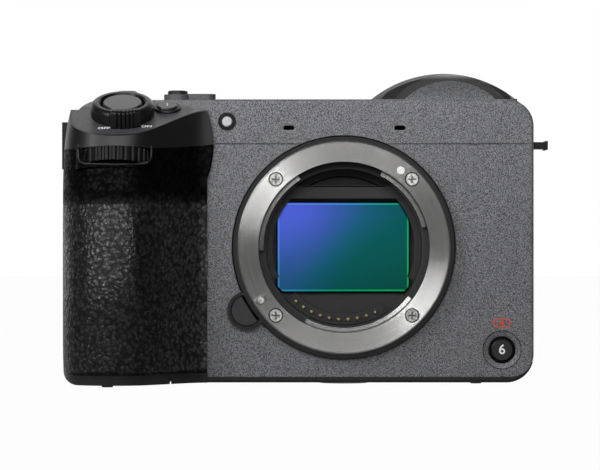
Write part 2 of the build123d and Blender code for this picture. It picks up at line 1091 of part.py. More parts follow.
def rear_cover():
    shell = body - body_inner
    cover = shell & block(
        body_left, body_right, rear_split_y, body_rear, cover_low, seam_z - seam_gap * half
    )
    cover = cover & cover_prism()
    pan = block(
        monitor_left - monitor_margin - recess_wall,
        body_right,
        recess_floor_y - recess_wall,
        body_rear,
        monitor_low - monitor_margin - recess_wall + pin_gap,
        monitor_high + monitor_margin + recess_wall - pin_gap,
    )
    rail = block(
        rail_left,
        body_right,
        body_rear - wall,
        body_rear + rail_proud,
        plate_low + foot_corner_round,
        monitor_high,
    )
    rail = fillet(rail.faces().sort_by(Axis.Y)[-1].edges().filter_by(Axis.Z), rear_edge_round * half)
    cover = cover + (pan & body & cover_prism()) + rail
    cover = cover - monitor_room() - arm_room() - arm_pin_rod(arm_pin + pin_gap, arm_pin_long + pin_gap)
    cover = cover - eye_window()
    # Control holes
    for spot in (focus_spot, menu_spot, playback_spot):
        cover = cover - rear_hole(spot, rear_cap + pin_gap * 2)
    wheel_spot = (wheel_x, wheel_z)
    cover = cover - rod_y(wheel_spot, wheel_radius + fit_gap, body_rear - wheel_sunk, body_rear + overrun)
    cover = cover - rear_hole(wheel_spot, wheel_hub + pin_gap)
    stick_spot = (stick_x, stick_z)
    boss = rod_y(stick_spot, stick_boss, stick_pivot_y - stick_ring_thick, body_rear - wall)
    cover = cover + boss
    cover = cover - rod_y(
        stick_spot, stick_boss_bore, stick_pivot_y - overrun, stick_pivot_y + stick_ring_thick
    )
    cover = cover - rear_hole(stick_spot, stick_hole)
    reach = stick_ring + stick_pin_reach + pin_gap
    pins = along_x(Pos(stick_pivot_y, stick_z) * Circle(stick_pin + pin_gap), stick_x - reach, stick_x + reach)
    return cover - pins - rear_dial_room()


def bottom_plate():
    foot = body + grip_outer
    slab = foot & block(
        grip_left, body_right, grip_bulge_y, body_rear, plate_low, cover_low
    )
    lips = (body - body_inner) & block(
        core_x, body_right, body_front, body_rear, cover_low, cover_low + plate_lip
    )
    plate = slab + (lips - cover_prism())
    for spot in nub_spots:
        plate = plate + along_z(Pos(*spot) * Circle(nub_radius), 0, plate_low)
    plate = plate - battery_door_slab(fit_gap)
    return plate - along_z(Circle(tripod_flange), plate_low - overrun, cover_low)


def port_side_cover():
    side = block(
        body_right - port_wall,
        body_right,
        front_split_y,
        recess_floor_y - recess_wall - seam_gap,
        cover_low,
        seam_z - seam_gap * half,
    )
    side = side & body & cover_prism()
    side = side - door_room(audio_low, audio_high) - door_room(digital_low, digital_high)
    side = side - eye_window() - lug_pocket()
    for index in range(vent_slots):
        y = vent_y + index * vent_pitch
        slot = block(
            body_right - overrun, body_right + overrun, y, y + vent_slot_wide, vent_low, vent_high
        )
        side = side - slot
    return side - arm_room()


# Grip


def dial_room():
    return dial_place() * centred_rod(dial_radius + dial_gap, dial_thick + dial_gap * 2)


def dial_frame():
    # Raised lip round the dial's slot, following the grip skin
    band = dial_place() * centred_rod(
        dial_radius + dial_gap + dial_lip, dial_thick + (dial_gap + dial_lip) * 2
    )
    return band & grip_form(-dial_lip_proud)


def side_place():
    # Along the straight left side of the grip, from its front end
    run = hypot(side_rear_x - grip_left, rear_split_y - side_y)
    along = ((side_rear_x - grip_left) / run, (rear_split_y - side_y) / run, 0)
    return Plane(origin=(grip_left, side_y, 0), x_dir=along, z_dir=(0, 0, 1))


def card_plate(gap, deep):
    return side_place() * block(
        card_start - gap, card_end, -deep, overrun if gap else 0, card_low - gap, card_high + gap
    )


def card_swing_room():
    # Lets the open door stand square beside its barrel
    return side_place() * block(
        card_end - pin_gap,
        card_end + card_barrel + door_gap,
        -card_thick * half,
        overrun,
        card_low - door_gap,
        card_high + door_gap,
    )


def card_barrel_rod(gap):
    spot = Pos(card_end, -card_thick * half)
    return side_place() * along_z(spot * Circle(card_barrel + gap), card_low - gap, card_high + gap)


def side_lug_room():
    # Pocket in the grip side that takes the lug and leaves room for a strap behind it
    base = block(
        side_lug_x,
        side_lug_x + side_lug_thick,
        side_lug_y,
        side_lug_y + side_lug_deep,
        side_lug_low,
        side_lug_high,
    )
    hollow = side_lug_slot(
        side_lug_x + side_lug_thick - pin_gap, side_lug_x + side_lug_thick + side_slot_hollow
    )
    return base + hollow


def side_lug_slot(x_low, x_high):
    middle = side_lug_y + side_lug_deep * half
    return block(
        x_low,
        x_high,
        middle - side_slot_deep * half,
        middle + side_slot_deep * half,
        side_lug_low + side_slot_margin,
        side_lug_high - side_slot_margin,
    )


def grip_frame():
    upper = grip_outer - above_plateau(0, body_right)
    skin = grip_outer - grip_middle
    skin = skin & below_seam() & block(
        grip_left - overrun, body_right, grip_bulge_y - overrun, rubber_side_y, rubber_low, body_top
    )
    frame = upper - skin
    frame = frame & block(
        grip_left - overrun, grip_edge_x + overrun, grip_bulge_y - overrun, rear_split_y, cover_low, shelf_z
    )
    hollow = grip_inner & block(
        grip_left,
        body_right,
        grip_bulge_y,
        body_rear + overrun,
        cover_low - overrun,
        shelf_z - shelf_thick,
    )
    hollow = hollow + block(
        body_left + shelf_reach, body_right, nose_y, body_rear + overrun, cover_low - overrun, body_top
    )
    # The plateau sheet and the push button under it stand clear of the frame
    frame = frame - hollow - core - (grip_rim & above_plateau(wall, body_right)) - rear_dial_room()
    frame = frame - block(
        custom_x - overrun, core_x, custom_y - overrun, body_rear, shelf_z - shelf_thick - overrun, shelf_z
    )
    frame = frame - plateau_plane(custom_x, custom_y) * (
        Pos(0, 0, -wall - custom_foot_thick) * centred_rod(custom_foot + fit_gap, custom_foot)
    )
    frame = frame - dial_room() + dial_axle_rod()
    frame = frame - card_plate(door_gap, grip_wall * 2) - card_barrel_rod(door_gap) - card_swing_room()
    frame = frame - side_lug_room()
    switch = plateau_plane(switch_x, switch_y)
    room = extrude(Circle(switch_skirt + fit_gap), amount=overrun * 2, both=True)
    frame = frame - (switch * room & below_plateau(wall, body_right))
    return max_solid(frame)


def max_solid(shape):
    # Keeps the main solid where a cut leaves a loose crumb
    return shape.solids().sort_by(SortBy.VOLUME)[-1]


def dial_axle_rod():
    # Axle across the dial's slot
    return dial_place() * centred_rod(dial_axle, dial_thick + dial_gap * 2 + pin_gap)


def grip_rubber():
    skin = (grip_outer - grip_middle) & below_seam() & block(
        grip_left - overrun, body_right, grip_bulge_y - overrun, rubber_side_y, rubber_low, body_top
    )
    skin = skin - core
    skin = skin + (dial_frame() - grip_outer & below_seam())
    skin = skin - dial_room()
    return [max_solid(skin), thumb_rest()]


def thumb_rest():
    # Wedge behind the thumb, thickest towards the middle of the camera
    face = outline(
        (thumb_left, body_rear),
        (thumb_right, body_rear),
        (thumb_right, body_rear + thumb_proud * half),
        (thumb_right - thumb_round * 2, body_rear + thumb_proud),
        (thumb_left + thumb_round * 2, body_rear + thumb_round),
    )
    solid = along_z(face, thumb_low, thumb_high)
    rear_edges = solid.edges().filter_by(Axis.Z).sort_by(Axis.Y)[-2:]
    return fillet(rear_edges, thumb_round * half)


# Lens mount


def mount_ring():
    spot = Pos(0, lens_z)
    ring = along_y(spot * disc(ring_radius, ring_bore), flange_y, ring_rear_y)
    outer_edge = ring.faces().sort_by(Axis.Y)[0].edges().sort_by(SortBy.LENGTH)[-1]
    ring = chamfer(outer_edge, ring_edge)
    tab_y = flange_y + tab_front
    ring = ring - rod_y((0, lens_z), ring_bore + ring_relief, tab_y, ring_rear_y + overrun)
    for start, end in tab_spans:
        tab = sector(tab_bore, ring_bore + ring_relief + ring_edge, start, end)
        ring = ring + along_y(tab, tab_y, tab_y + tab_thick)
        groove = sector(ring_bore - tab_groove, ring_bore + ring_relief, start, end)
        ring = ring - along_y(groove, tab_y, tab_y + tab_groove_deep)
    for angle in screw_angles:
        screw = polar_spot(screw_circle, angle)
        ring = ring - rod_y(screw, screw_head + screw_seat_gap, flange_y - overrun, flange_y + screw_head_deep)
        ring = ring - rod_y(screw, screw_shank, flange_y, ring_rear_y + overrun)
    index = polar_spot(index_circle, index_angle)
    ring = ring - rod_y(index, index_radius, flange_y - overrun, flange_y + index_deep)
    lock = polar_spot(lock_circle, lock_angle)
    return ring - rod_y(lock, lock_radius + pin_gap, flange_y - overrun, ring_rear_y + overrun)


def mount_screws():
    screws = []
    for angle in screw_angles:
        spot = polar_spot(screw_circle, angle)
        head = rod_y(spot, screw_head, flange_y + index_deep, flange_y + screw_head_deep)
        slot_wide, slot_long = screw_head * half * half, screw_head * 1.3
        cross = Pos(*spot) * (Rectangle(slot_wide, slot_long) + Rectangle(slot_long, slot_wide))
        head = head - along_y(cross, flange_y, flange_y + screw_head_deep * half)
        screws.append(head + rod_y(spot, screw_shank, flange_y + screw_head_deep, flange_y + screw_long))
    return screws


def mount_bezel():
    spot = Pos(0, lens_z)
    front = body_front - bezel_proud
    ring = along_y(spot * disc(bezel_radius, bezel_bore), front, chassis_front_y)
    outer_edge = ring.faces().sort_by(Axis.Y)[0].edges().sort_by(SortBy.LENGTH)[-1]
    ring = chamfer(outer_edge, bezel_edge)
    groove = along_y(spot * disc(bezel_groove + bezel_groove_wide, bezel_groove), front - pin_gap, front + bezel_groove_deep)
    ring = ring - groove
    centre = polar_spot(release_circle, release_angle)
    guard = Pos(*centre) * (Circle(guard_radius) - Circle(guard_bore))
    guard = guard - spot * Circle(bezel_bore)
    guard = along_y(guard, body_front - guard_proud, chassis_front_y)
    return ring + guard - release_prism(fit_gap * half, body_front - overrun, chassis_front_y + overrun)


def release_prism(gap, y_low, y_high):
    # The D-shaped outline of the release button, cut off by the bezel's outer edge
    centre = polar_spot(release_circle, release_angle)
    face = Pos(*centre) * Circle(release_radius + gap)
    face = face - Pos(0, lens_z) * Circle(bezel_radius + fit_gap - gap)
    return along_y(face, y_low, y_high)


def lens_release_button():
    cap = release_prism(0, body_front - release_proud, chassis_front_y - fit_gap)
    centre = polar_spot(release_circle + release_stem, release_angle)
    stem = rod_y(centre, release_stem, chassis_front_y - fit_gap - pin_gap, chassis_front_y + release_stem * half)
    return cap + stem


def lens_lock_pin():
    spot = polar_spot(lock_circle, lock_angle)
    pin = rod_y(spot, lock_radius, flange_y - lock_proud, chassis_front_y + chassis_plate)
    tip = pin.faces().sort_by(Axis.Y)[0].edges()
    return chamfer(tip, lock_radius * half * half)


def lock_hole(y_low, y_high):
    return rod_y(polar_spot(lock_circle, lock_angle), lock_radius + pin_gap, y_low, y_high)


def mount_box():
    spot = Pos(0, lens_z)
    tube = along_y(spot * disc(throat_radius, throat_bore), ring_rear_y, throat_floor_y)
    flange_rear_y = ring_rear_y + throat_flange_thick
    flange = along_y(spot * disc(throat_flange, throat_bore), ring_rear_y, flange_rear_y)
    floor_front_y = throat_floor_y - throat_floor_thick
    floor = along_y(spot * Circle(throat_radius), floor_front_y, throat_floor_y)
    floor = floor - along_y(window_outline(window_wide, window_high), floor_front_y - overrun, 0)
    bar = Pos(0, window_top + baffle_high * half) * Rectangle(throat_radius * 2, baffle_high)
    bar = along_y(bar & spot * Circle(throat_bore + pin_gap), floor_front_y - baffle_proud, floor_front_y + pin_gap)
    step = sector(throat_bore - throat_step, throat_bore + pin_gap, *throat_step_span)
    step = along_y(step, floor_front_y - throat_step_proud, floor_front_y + pin_gap)
    box = tube + flange + floor + bar + step
    for angle in screw_angles:
        box = box - rod_y(polar_spot(screw_circle, angle), screw_shank, ring_rear_y, throat_floor_y)
    return box - lock_hole(ring_rear_y - overrun, throat_floor_y)


def window_outline(wide, high):
    # A rectangle about the lens axis with its corners cut
    x, z, cut = wide * half, high * half, window_corner
    points = (
        (-x + cut, -z), (x - cut, -z), (x, -z + cut), (x, z - cut),
        (x - cut, z), (-x + cut, z), (-x, z - cut), (-x, -z + cut),
    )
    return Pos(0, lens_z) * outline(*points)


def contact_angles():
    return [-quarter + contact_first + index * contact_step for index in range(contact_count)]


def contact_block():
    floor_y = throat_floor_y - throat_floor_thick
    arc = sector(contact_inner, contact_outer, contact_start - quarter, contact_end - quarter)
    solid = along_y(arc, contact_face_y, floor_y)
    for angle in contact_angles():
        hole = rod_y(
            polar_spot(contact_circle, angle),
            contact_pin + pin_gap,
            contact_face_y - overrun,
            floor_y - contact_floor,
        )
        solid = solid - hole
    return solid


def contact_pins():
    rear_y = throat_floor_y - throat_floor_thick - contact_floor - contact_travel - pin_gap * 2
    pins = []
    for angle in contact_angles():
        spot = polar_spot(contact_circle, angle)
        pin = rod_y(spot, contact_pin, contact_face_y - contact_proud, rear_y)
        tip = pin.faces().sort_by(Axis.Y)[0].edges()
        pins.append(chamfer(tip, contact_pin * half))
    return pins


# Shutter and sensor


def shutter_frame():
    reach = shutter_wide * half
    low = window_low - shutter_rim * 3
    rear_y = shutter_front_y + shutter_thick
    frame = block(-reach, reach, shutter_front_y, rear_y, low, shutter_top)
    window = along_y(window_outline(window_wide, window_high), shutter_front_y - overrun, rear_y + overrun)
    room = block(
        -reach + shutter_rim,
        reach - shutter_rim,
        shutter_front_y + shutter_skin,
        rear_y - shutter_skin,
        window_low - shutter_rim,
        shutter_top - shutter_rim,
    )
    return frame - window - room


def shutter_blade(index):
    reach = shutter_wide * half - shutter_rim - blade_side_gap
    room_front_y = shutter_front_y + shutter_skin
    room_deep = shutter_thick - shutter_skin * 2
    middle = room_front_y + room_deep * half + (index - (blade_count - 1) * half) * blade_pitch
    low = window_top + fit_gap
    return block(
        -reach, reach, middle - blade_thick * half, middle + blade_thick * half, low, low + blade_high
    )


def sensor_glass():
    plate = along_y(window_outline(sensor_wide, sensor_high), sensor_front_y, sensor_rear_y)
    front = plate.faces().sort_by(Axis.Y)[0].edges()
    return chamfer(front, sensor_thick * half * half * half)


def sensor_carriage():
    plate = along_y(
        centred_plate(carriage_wide, carriage_high, carriage_corner), sensor_rear_y, carriage_rear_y
    )
    lip = window_outline(sensor_wide + carriage_lip, sensor_high + carriage_lip)
    lip = along_y(lip, sensor_front_y + sensor_thick * half, sensor_rear_y)
    lip = lip - along_y(window_outline(sensor_wide, sensor_high), sensor_front_y - overrun, sensor_rear_y)
    return plate + lip


def stabiliser_frame():
    front_y = carriage_rear_y + cross_gap
    frame = along_y(centred_plate(cross_wide, cross_high, carriage_corner), front_y, front_y + cross_thick)
    frame = frame - along_y(
        centred_plate(cross_open_wide, cross_open_high, carriage_corner), front_y - overrun, front_y + overrun
    )
    for x in (-1, 1):
        for z in (-1, 1):
            spot = (
                x * (cross_wide * half - cross_pad_inset),
                lens_z + z * (cross_high * half - cross_pad_inset),
            )
            frame = frame + rod_y(spot, cross_pad, carriage_rear_y + pin_gap, front_y + cross_thick)
    return frame


# Chassis and electronics


def chassis():
    right = body_right - port_wall - chassis_right_gap
    front = block(
        core_x + chassis_gap,
        right,
        chassis_front_y,
        chassis_front_y + chassis_plate,
        cover_low + floor_gap,
        chassis_top,
    )
    front = front & body_inner
    front = front - rod_y((0, lens_z), chassis_hole, chassis_front_y - overrun, overrun)
    base_rear_y = base_plate_y + chassis_plate
    base = block(
        -chassis_rib_x, chassis_rib_x, base_plate_y, base_rear_y, chassis_rib_low, chassis_rib_high
    )
    base = base - along_y(
        centred_plate(base_open_wide, base_open_high, carriage_corner), base_plate_y - overrun, base_rear_y + overrun
    )
    ribs = [
        block(x, x + chassis_rib, chassis_front_y, base_rear_y, chassis_rib_low, chassis_rib_high)
        for x in (-chassis_rib_x - chassis_rib, chassis_rib_x)
    ]
    floor = block(
        core_x + chassis_gap,
        right,
        chassis_front_y,
        recess_floor_y - recess_wall - chassis_gap,
        cover_low + floor_gap,
        cover_low + floor_gap + floor_thick,
    )
    floor = floor & body_inner
    frame = front + base + ribs + floor
    for spot in board_posts():
        frame = frame + rod_y(spot, board_post, base_rear_y - pin_gap, board_y)
    boss = along_z(
        Circle(tripod_radius + wall), cover_low + floor_gap, tripod_deep + wall
    )
    frame = frame + boss - record_room() - release_room() - lock_hole(chassis_front_y - overrun, 0)
    for angle in screw_angles:
        frame = frame - rod_y(polar_spot(screw_circle, angle), screw_shank, chassis_front_y - overrun, 0)
    return frame - along_z(Circle(tripod_radius), 0, tripod_deep)


def board_posts():
    x = chassis_rib_x + chassis_rib - board_post
    return [
        (side * x, z)
        for side in (-1, 1)
        for z in (chassis_rib_low + board_post, board_high - board_post_inset)
    ]


def record_room():
    return rod_y(
        (record_x, record_z),
        front_record_foot + fit_gap,
        chassis_front_y - overrun,
        chassis_front_y + overrun,
    )


def release_room():
    spot = polar_spot(release_circle, release_angle)
    return rod_y(spot, release_radius + fit_gap, chassis_front_y - overrun, chassis_front_y + overrun)


def main_board():
    board = block(board_left, board_right, board_y, board_y + board_thick, board_low, board_high)
    rear_y = board_y + board_thick
    chip = block(
        chip_x - chip_wide * half,
        chip_x + chip_wide * half,
        rear_y,
        rear_y + chip_thick,
        chip_z - chip_wide * half,
        chip_z + chip_wide * half,
    )
    link = block(
        board_left,
        board_left + link_wide,
        rear_y,
        cage_front_y - cage_board,
        cage_high - link_high,
        cage_high,
    )
    daughter = block(cage_left, cage_right, cage_front_y - cage_board, cage_front_y, cage_low, cage_high)
    return [board, chip, link, daughter, card_cage()] + sockets()


def card_cage():
    # Metal cage for two cards, open towards the card door
    cage = block(cage_left, cage_right, cage_front_y, cage_rear_y, cage_low, cage_high)
    pitch = (cage_rear_y - cage_front_y - cage_shelf) * half
    for index in range(2):
        front_y = cage_front_y + cage_wall + index * pitch
        cage = cage - block(
            cage_left - overrun,
            cage_right - cage_wall,
            front_y,
            front_y + pitch - cage_wall,
            cage_low + cage_wall,
            cage_high - cage_wall,
        )
    return cage


def socket_tube(wide, high, z, x_high):
    shell = block(
        socket_board_x,
        x_high,
        socket_y - wide * half - socket_shell,
        socket_y + wide * half + socket_shell,
        z - high * half - socket_shell,
        z + high * half + socket_shell,
    )
    mouth = block(
        socket_board_x + socket_shell * 2,
        x_high + overrun,
        socket_y - wide * half,
        socket_y + wide * half,
        z - high * half,
        z + high * half,
    )
    return shell - mouth


def sockets():
    # Side board with two round jacks and two flat sockets facing the doors
    x_high = body_right - port_wall - fit_gap
    side = block(
        socket_board_x - socket_board_thick,
        socket_board_x,
        socket_board_y,
        board_y,
        digital_low,
        audio_high - fit_gap * 4,
    )
    made = [side]
    for z in jack_z:
        face = Pos(jack_y, z)
        jack = along_x(face * Circle(jack_bore + jack_wall), socket_board_x, x_high)
        made.append(jack - along_x(face * Circle(jack_bore), x_high - jack_deep, x_high + overrun))
    made.append(socket_tube(hdmi_wide, hdmi_high, hdmi_z, x_high))
    made.append(socket_tube(usb_wide, usb_high, usb_z, x_high))
    return made


def fan_housing():
    reach = fan_radius + fan_case_gap
    right = body_right - port_wall - fit_gap
    case = block(
        fan_x - reach - fan_skin,
        right,
        fan_front_y,
        fan_front_y + fan_deep,
        fan_z - reach - fan_skin,
        fan_z + reach + fan_skin,
    )
    room_front_y, room_rear_y = fan_front_y + fan_skin, fan_front_y + fan_deep - fan_skin
    round_room = rod_y((fan_x, fan_z), reach, room_front_y, room_rear_y)
    outlet = block(
        fan_x, right + overrun, room_front_y, room_rear_y, fan_z - reach + fan_skin, fan_z + reach
    )
    inlet = rod_y((fan_x, fan_z), fan_radius - fan_hub * half, room_rear_y - pin_gap, room_rear_y + overrun)
    spindle = rod_y((fan_x, fan_z), fan_spindle, room_front_y - pin_gap, room_rear_y - fan_skin)
    return case - round_room - outlet - inlet + spindle


def fan_rotor():
    front_y = fan_front_y + fan_skin + fan_floor_gap
    rear_y = fan_front_y + fan_deep - fan_skin - fan_floor_gap
    spot = (fan_x, fan_z)
    rotor = rod_y(spot, fan_hub, front_y, rear_y)
    for index in range(fan_blades):
        angle = index * full_turn / fan_blades
        vane = Pos(fan_hub * half, 0) * Rot(0, 0, fan_blade_lean) * Pos(fan_radius * half, 0) * Rectangle(
            fan_radius, fan_blade_thick
        )
        vane = Pos(*spot) * Rot(0, 0, angle) * vane
        rotor = rotor + (along_y(vane, front_y, rear_y) & rod_y(spot, fan_radius, front_y, rear_y))
    return rotor - rod_y(spot, fan_spindle + pin_gap, front_y - overrun, rear_y + overrun)


# Battery


def battery():
    pack = block(
        battery_left,
        battery_left + battery_wide,
        battery_front_y,
        battery_front_y + battery_deep,
        battery_low,
        battery_low + battery_high,
    )
    return fillet(pack.edges().filter_by(Axis.Z), battery_edge)


def battery_door_slab(gap):
    low = plate_low - (overrun if gap else 0)
    high = cover_low + (overrun if gap else 0)
    return block(
        battery_left - battery_door_margin - gap,
        battery_door_hinge_x + battery_knuckle + gap,
        battery_front_y - battery_door_margin - gap,
        battery_front_y + battery_deep + battery_door_margin + gap,
        low,
        high,
    )


def battery_door():
    slab = battery_door_slab(0) & block(
        grip_left, battery_door_hinge_x, grip_bulge_y, body_rear, plate_low, cover_low
    )
    middle = (plate_low + cover_low) * half
    front_y = battery_front_y - battery_door_margin
    rear_y = battery_front_y + battery_deep + battery_door_margin
    barrel = rod_y((battery_door_hinge_x, middle), battery_knuckle, front_y, rear_y)
    return slab + barrel - latch_block(pin_gap, battery_latch_travel)


def latch_y():
    return battery_front_y + battery_deep * half


def latch_block(gap, travel):
    left = battery_left - battery_door_margin + battery_latch_inset
    return block(
        left - travel,
        left + battery_latch_wide + gap,
        latch_y() - battery_latch_deep * half - gap,
        latch_y() + battery_latch_deep * half + gap,
        plate_low - (overrun if gap else 0),
        plate_low + battery_latch_thick,
    )


def battery_latch():
    return latch_block(0, 0)


# Doors


def door_room(low, high):
    gap = door_gap
    return block(
        body_right - overrun,
        body_right + overrun,
        door_hinge_y - door_end_round - gap,
        door_hinge_y + door_long + gap,
        low - gap,
        high + gap,
    )


def port_door(low, high):
    flat = block(
        body_right - port_wall, body_right, door_hinge_y, door_hinge_y + door_long, low, high
    )
    barrel = along_z(Pos(door_hinge_x, door_hinge_y) * Circle(door_end_round), low, high)
    return flat + barrel


def card_door():
    return card_plate(0, card_thick) + card_barrel_rod(0)


# Controls on top


def power_switch():
    place = plateau_plane(switch_x, switch_y)
    top = switch_lift + switch_high
    profile = outline(
        (switch_bore, switch_lift),
        (switch_base, switch_lift),
        (switch_base, top),
        (switch_bore, top),
    )
    profile = fillet(profile.vertices().sort_by_distance((switch_base, top))[0], switch_shoulder)
    profile = chamfer(profile.vertices().sort_by_distance((switch_bore, top))[0], switch_dish)
    ring = revolve(Plane.XZ * profile, Axis.Z)
    lug = block(
        -switch_lug_wide * half,
        switch_lug_wide * half,
        -switch_base - switch_lug_reach,
        -switch_bore - switch_lug_reach * half,
        switch_lift,
        top - switch_lug_drop,
    )
    lug = chamfer(lug.faces().sort_by(Axis.Y)[0].edges().filter_by(Axis.X).sort_by(Axis.Z)[-1], switch_lug_reach * half)
    pitch = switch_lug_wide / (switch_ribs + 1)
    for index in range(switch_ribs):
        x = -switch_lug_wide * half + pitch * (index + 1)
        lug = lug - block(
            x - switch_rib * half,
            x + switch_rib * half,
            -switch_base - switch_lug_reach * 2,
            -switch_base - switch_lug_reach + switch_rib,
            0,
            top + overrun,
        )
    skirt = along_z(
        disc(switch_skirt, switch_skirt - switch_skirt_wall), -switch_skirt_deep, switch_lift + pin_gap
    )
    collar = along_z(
        disc(switch_bore + switch_rib, switch_skirt - switch_skirt_wall), switch_lift, switch_lift + switch_collar
    )
    return place * (ring + lug + skirt + collar)


def shutter_button():
    place = plateau_plane(switch_x, switch_y)
    cap = Pos(0, 0, (shutter_cap_low + shutter_cap_top) * half) * Cylinder(
        shutter_cap - fit_gap * half, shutter_cap_top - shutter_cap_low
    )
    cap = chamfer(cap.faces().sort_by(Axis.Z)[-1].edges(), shutter_dish)
    stem = extrude(Circle(shutter_stem), amount=shutter_cap_low + pin_gap) + extrude(
        Circle(shutter_stem), amount=-shutter_foot_low
    )
    foot = Pos(0, 0, -shutter_foot_low) * extrude(Circle(shutter_foot), amount=shutter_foot_thick)
    return place * (cap + stem + foot)


def stepped_cap(cap, foot, foot_thick, high, under):
    # A push button: cap above, wider foot held under the wall, measured from the wall's outer face
    solid = extrude(Circle(cap), amount=high) + extrude(Circle(cap), amount=-under - pin_gap)
    solid = chamfer(solid.faces().sort_by(Axis.Z)[-1].edges(), fit_gap)
    return solid + Pos(0, 0, -under - foot_thick) * extrude(Circle(foot), amount=foot_thick - pin_gap)


def custom_button():
    place = plateau_plane(custom_x, custom_y)
    return place * stepped_cap(custom_cap, custom_foot, custom_foot_thick, custom_high, wall)


def deck_button(x, cap, high, under):
    place = Plane(origin=(x, deck_y, body_top), x_dir=(1, 0, 0), z_dir=(0, 0, 1))
    return place * stepped_cap(cap, deck_foot, deck_foot_thick, high, under)


def mode_lever():
    low = body_top + lever_lift
    spot = Pos(deck_x, deck_y)
    ring = along_z(spot * disc(lever_radius, lever_bore), low, low + lever_high)
    sleeve = along_z(spot * disc(lever_sleeve, lever_bore), roof_low, low + pin_gap)
    arm = spot * Pos(lever_reach * half, 0) * (Pos(0, 0) * SlotOverall(lever_reach, lever_arm_wide))
    arm = along_z(arm - spot * Circle(lever_bore), low, low + lever_arm_thick)
    return ring + sleeve + arm


def accessory_shoe():
    reach, floor = shoe_sizes()
    rear_y = shoe_front_y + shoe_long
    shoe = block(
        shoe_x - reach, shoe_x + reach, shoe_front_y, rear_y, floor - shoe_floor, body_top + shoe_proud
    )
    slot = block(
        shoe_x - shoe_inner_wide * half,
        shoe_x + shoe_inner_wide * half,
        shoe_front_y + shoe_stop,
        rear_y + overrun,
        floor,
        floor + shoe_high,
    )
    mouth = block(
        shoe_x - shoe_mouth_wide * half,
        shoe_x + shoe_mouth_wide * half,
        shoe_front_y + shoe_stop,
        rear_y + overrun,
        floor,
        body_top + overrun,
    )
    return shoe - slot - mouth


def thread_inserts():
    made = []
    for spot in insert_spots:
        ring = Pos(*spot) * disc(insert_radius, insert_bore)
        made.append(along_z(ring, body_top - insert_deep, body_top))
    flange = along_z(disc(tripod_flange, tripod_bore), 0, cover_low)
    made.append(flange + along_z(disc(tripod_radius, tripod_bore), 0, tripod_deep))
    return made


def strap_lugs():
    low, high = lug_z - lug_thick * half, lug_z + lug_thick * half
    lug = block(body_right - lug_root, body_right + lug_reach, lug_y, lug_y + lug_wide, low, high)
    rim = block(
        body_right + lug_reach - lug_rim,
        body_right + lug_reach,
        lug_y,
        lug_y + lug_wide,
        lug_z - lug_rim_high * half,
        lug_z + lug_rim_high * half,
    )
    margin = (lug_wide - lug_slot_wide) * half
    slot = block(
        body_right + lug_slot_start,
        body_right + lug_slot_start + lug_slot_deep,
        lug_y + margin,
        lug_y + lug_wide - margin,
        low - overrun,
        high + overrun,
    )
    bar = block(
        side_lug_x,
        side_lug_x + side_lug_thick,
        side_lug_y,
        side_lug_y + side_lug_deep,
        side_lug_low,
        side_lug_high,
    )
    bar = bar - side_lug_slot(side_lug_x - overrun, side_lug_x + side_lug_thick + overrun)
    return [lug + rim - slot, bar]


def front_lamps():
    spot = (lamp_x, lamp_z)
    ring = rod_y(spot, lamp_radius, body_front - lamp_proud, body_front + lamp_deep)
    ring = ring - rod_y(spot, lamp_lens + lamp_proud, body_front - overrun, body_front)
    lens = rod_y(spot, lamp_lens, body_front - lamp_proud, body_front + lamp_proud)
    lens = chamfer(lens.faces().sort_by(Axis.Y)[0].edges(), lamp_proud * half)
    return [ring + lens, body & tally_room()]


def front_record_button():
    place = Plane(origin=(record_x, body_front, record_z), x_dir=(1, 0, 0), z_dir=(0, -1, 0))
    under = wall
    cap = extrude(Circle(front_record_cap), amount=front_record_proud) + extrude(
        Circle(front_record_cap), amount=-under - pin_gap * 2
    )
    cap = chamfer(cap.faces().sort_by(Axis.Y)[0].edges(), fit_gap * half)
    foot = Pos(0, 0, -under - pin_gap * 2 - deck_foot_thick) * extrude(
        Circle(front_record_foot), amount=deck_foot_thick
    )
    return place * (cap + foot)


# Dials


def ribbed_wheel(radius, thick, ribs, deep, bore):
    return extrude(ribbed_disc(radius, ribs, deep, bore), amount=thick * half, both=True)


def front_dial():
    return dial_place() * ribbed_wheel(dial_radius, dial_thick, dial_ribs, dial_rib_deep, dial_axle + pin_gap)


def rear_dial():
    place = Plane(origin=(rear_dial_x, rear_dial_y, rear_dial_z))
    wheel = ribbed_wheel(rear_dial_radius, rear_dial_thick, rear_dial_ribs, dial_rib_deep, dial_axle + pin_gap)
    return place * wheel


# Rear controls


def rear_place(spot):
    return Plane(origin=(spot[0], body_rear, spot[1]), x_dir=(-1, 0, 0), z_dir=(0, 1, 0))


def rear_button(spot):
    return rear_place(spot) * stepped_cap(rear_cap, rear_foot, rear_foot_thick, rear_cap_proud, wall)


def control_wheel():
    place = rear_place((wheel_x, wheel_z))
    face = ribbed_disc(wheel_radius, wheel_ribs, wheel_rib_deep, wheel_bore)
    low = -wheel_sunk + pin_gap
    wheel = Pos(0, 0, low) * extrude(face, amount=wheel_thick)
    hub = Pos(0, 0, low) * extrude(disc(wheel_hub, wheel_bore), amount=-wheel_hub_long)
    return place * (wheel + hub)


def wheel_button():
    place = rear_place((wheel_x, wheel_z))
    under = wheel_hub_long + wheel_sunk
    return place * stepped_cap(wheel_cap, wheel_cap_foot, rear_foot_thick, wheel_cap_proud, under)


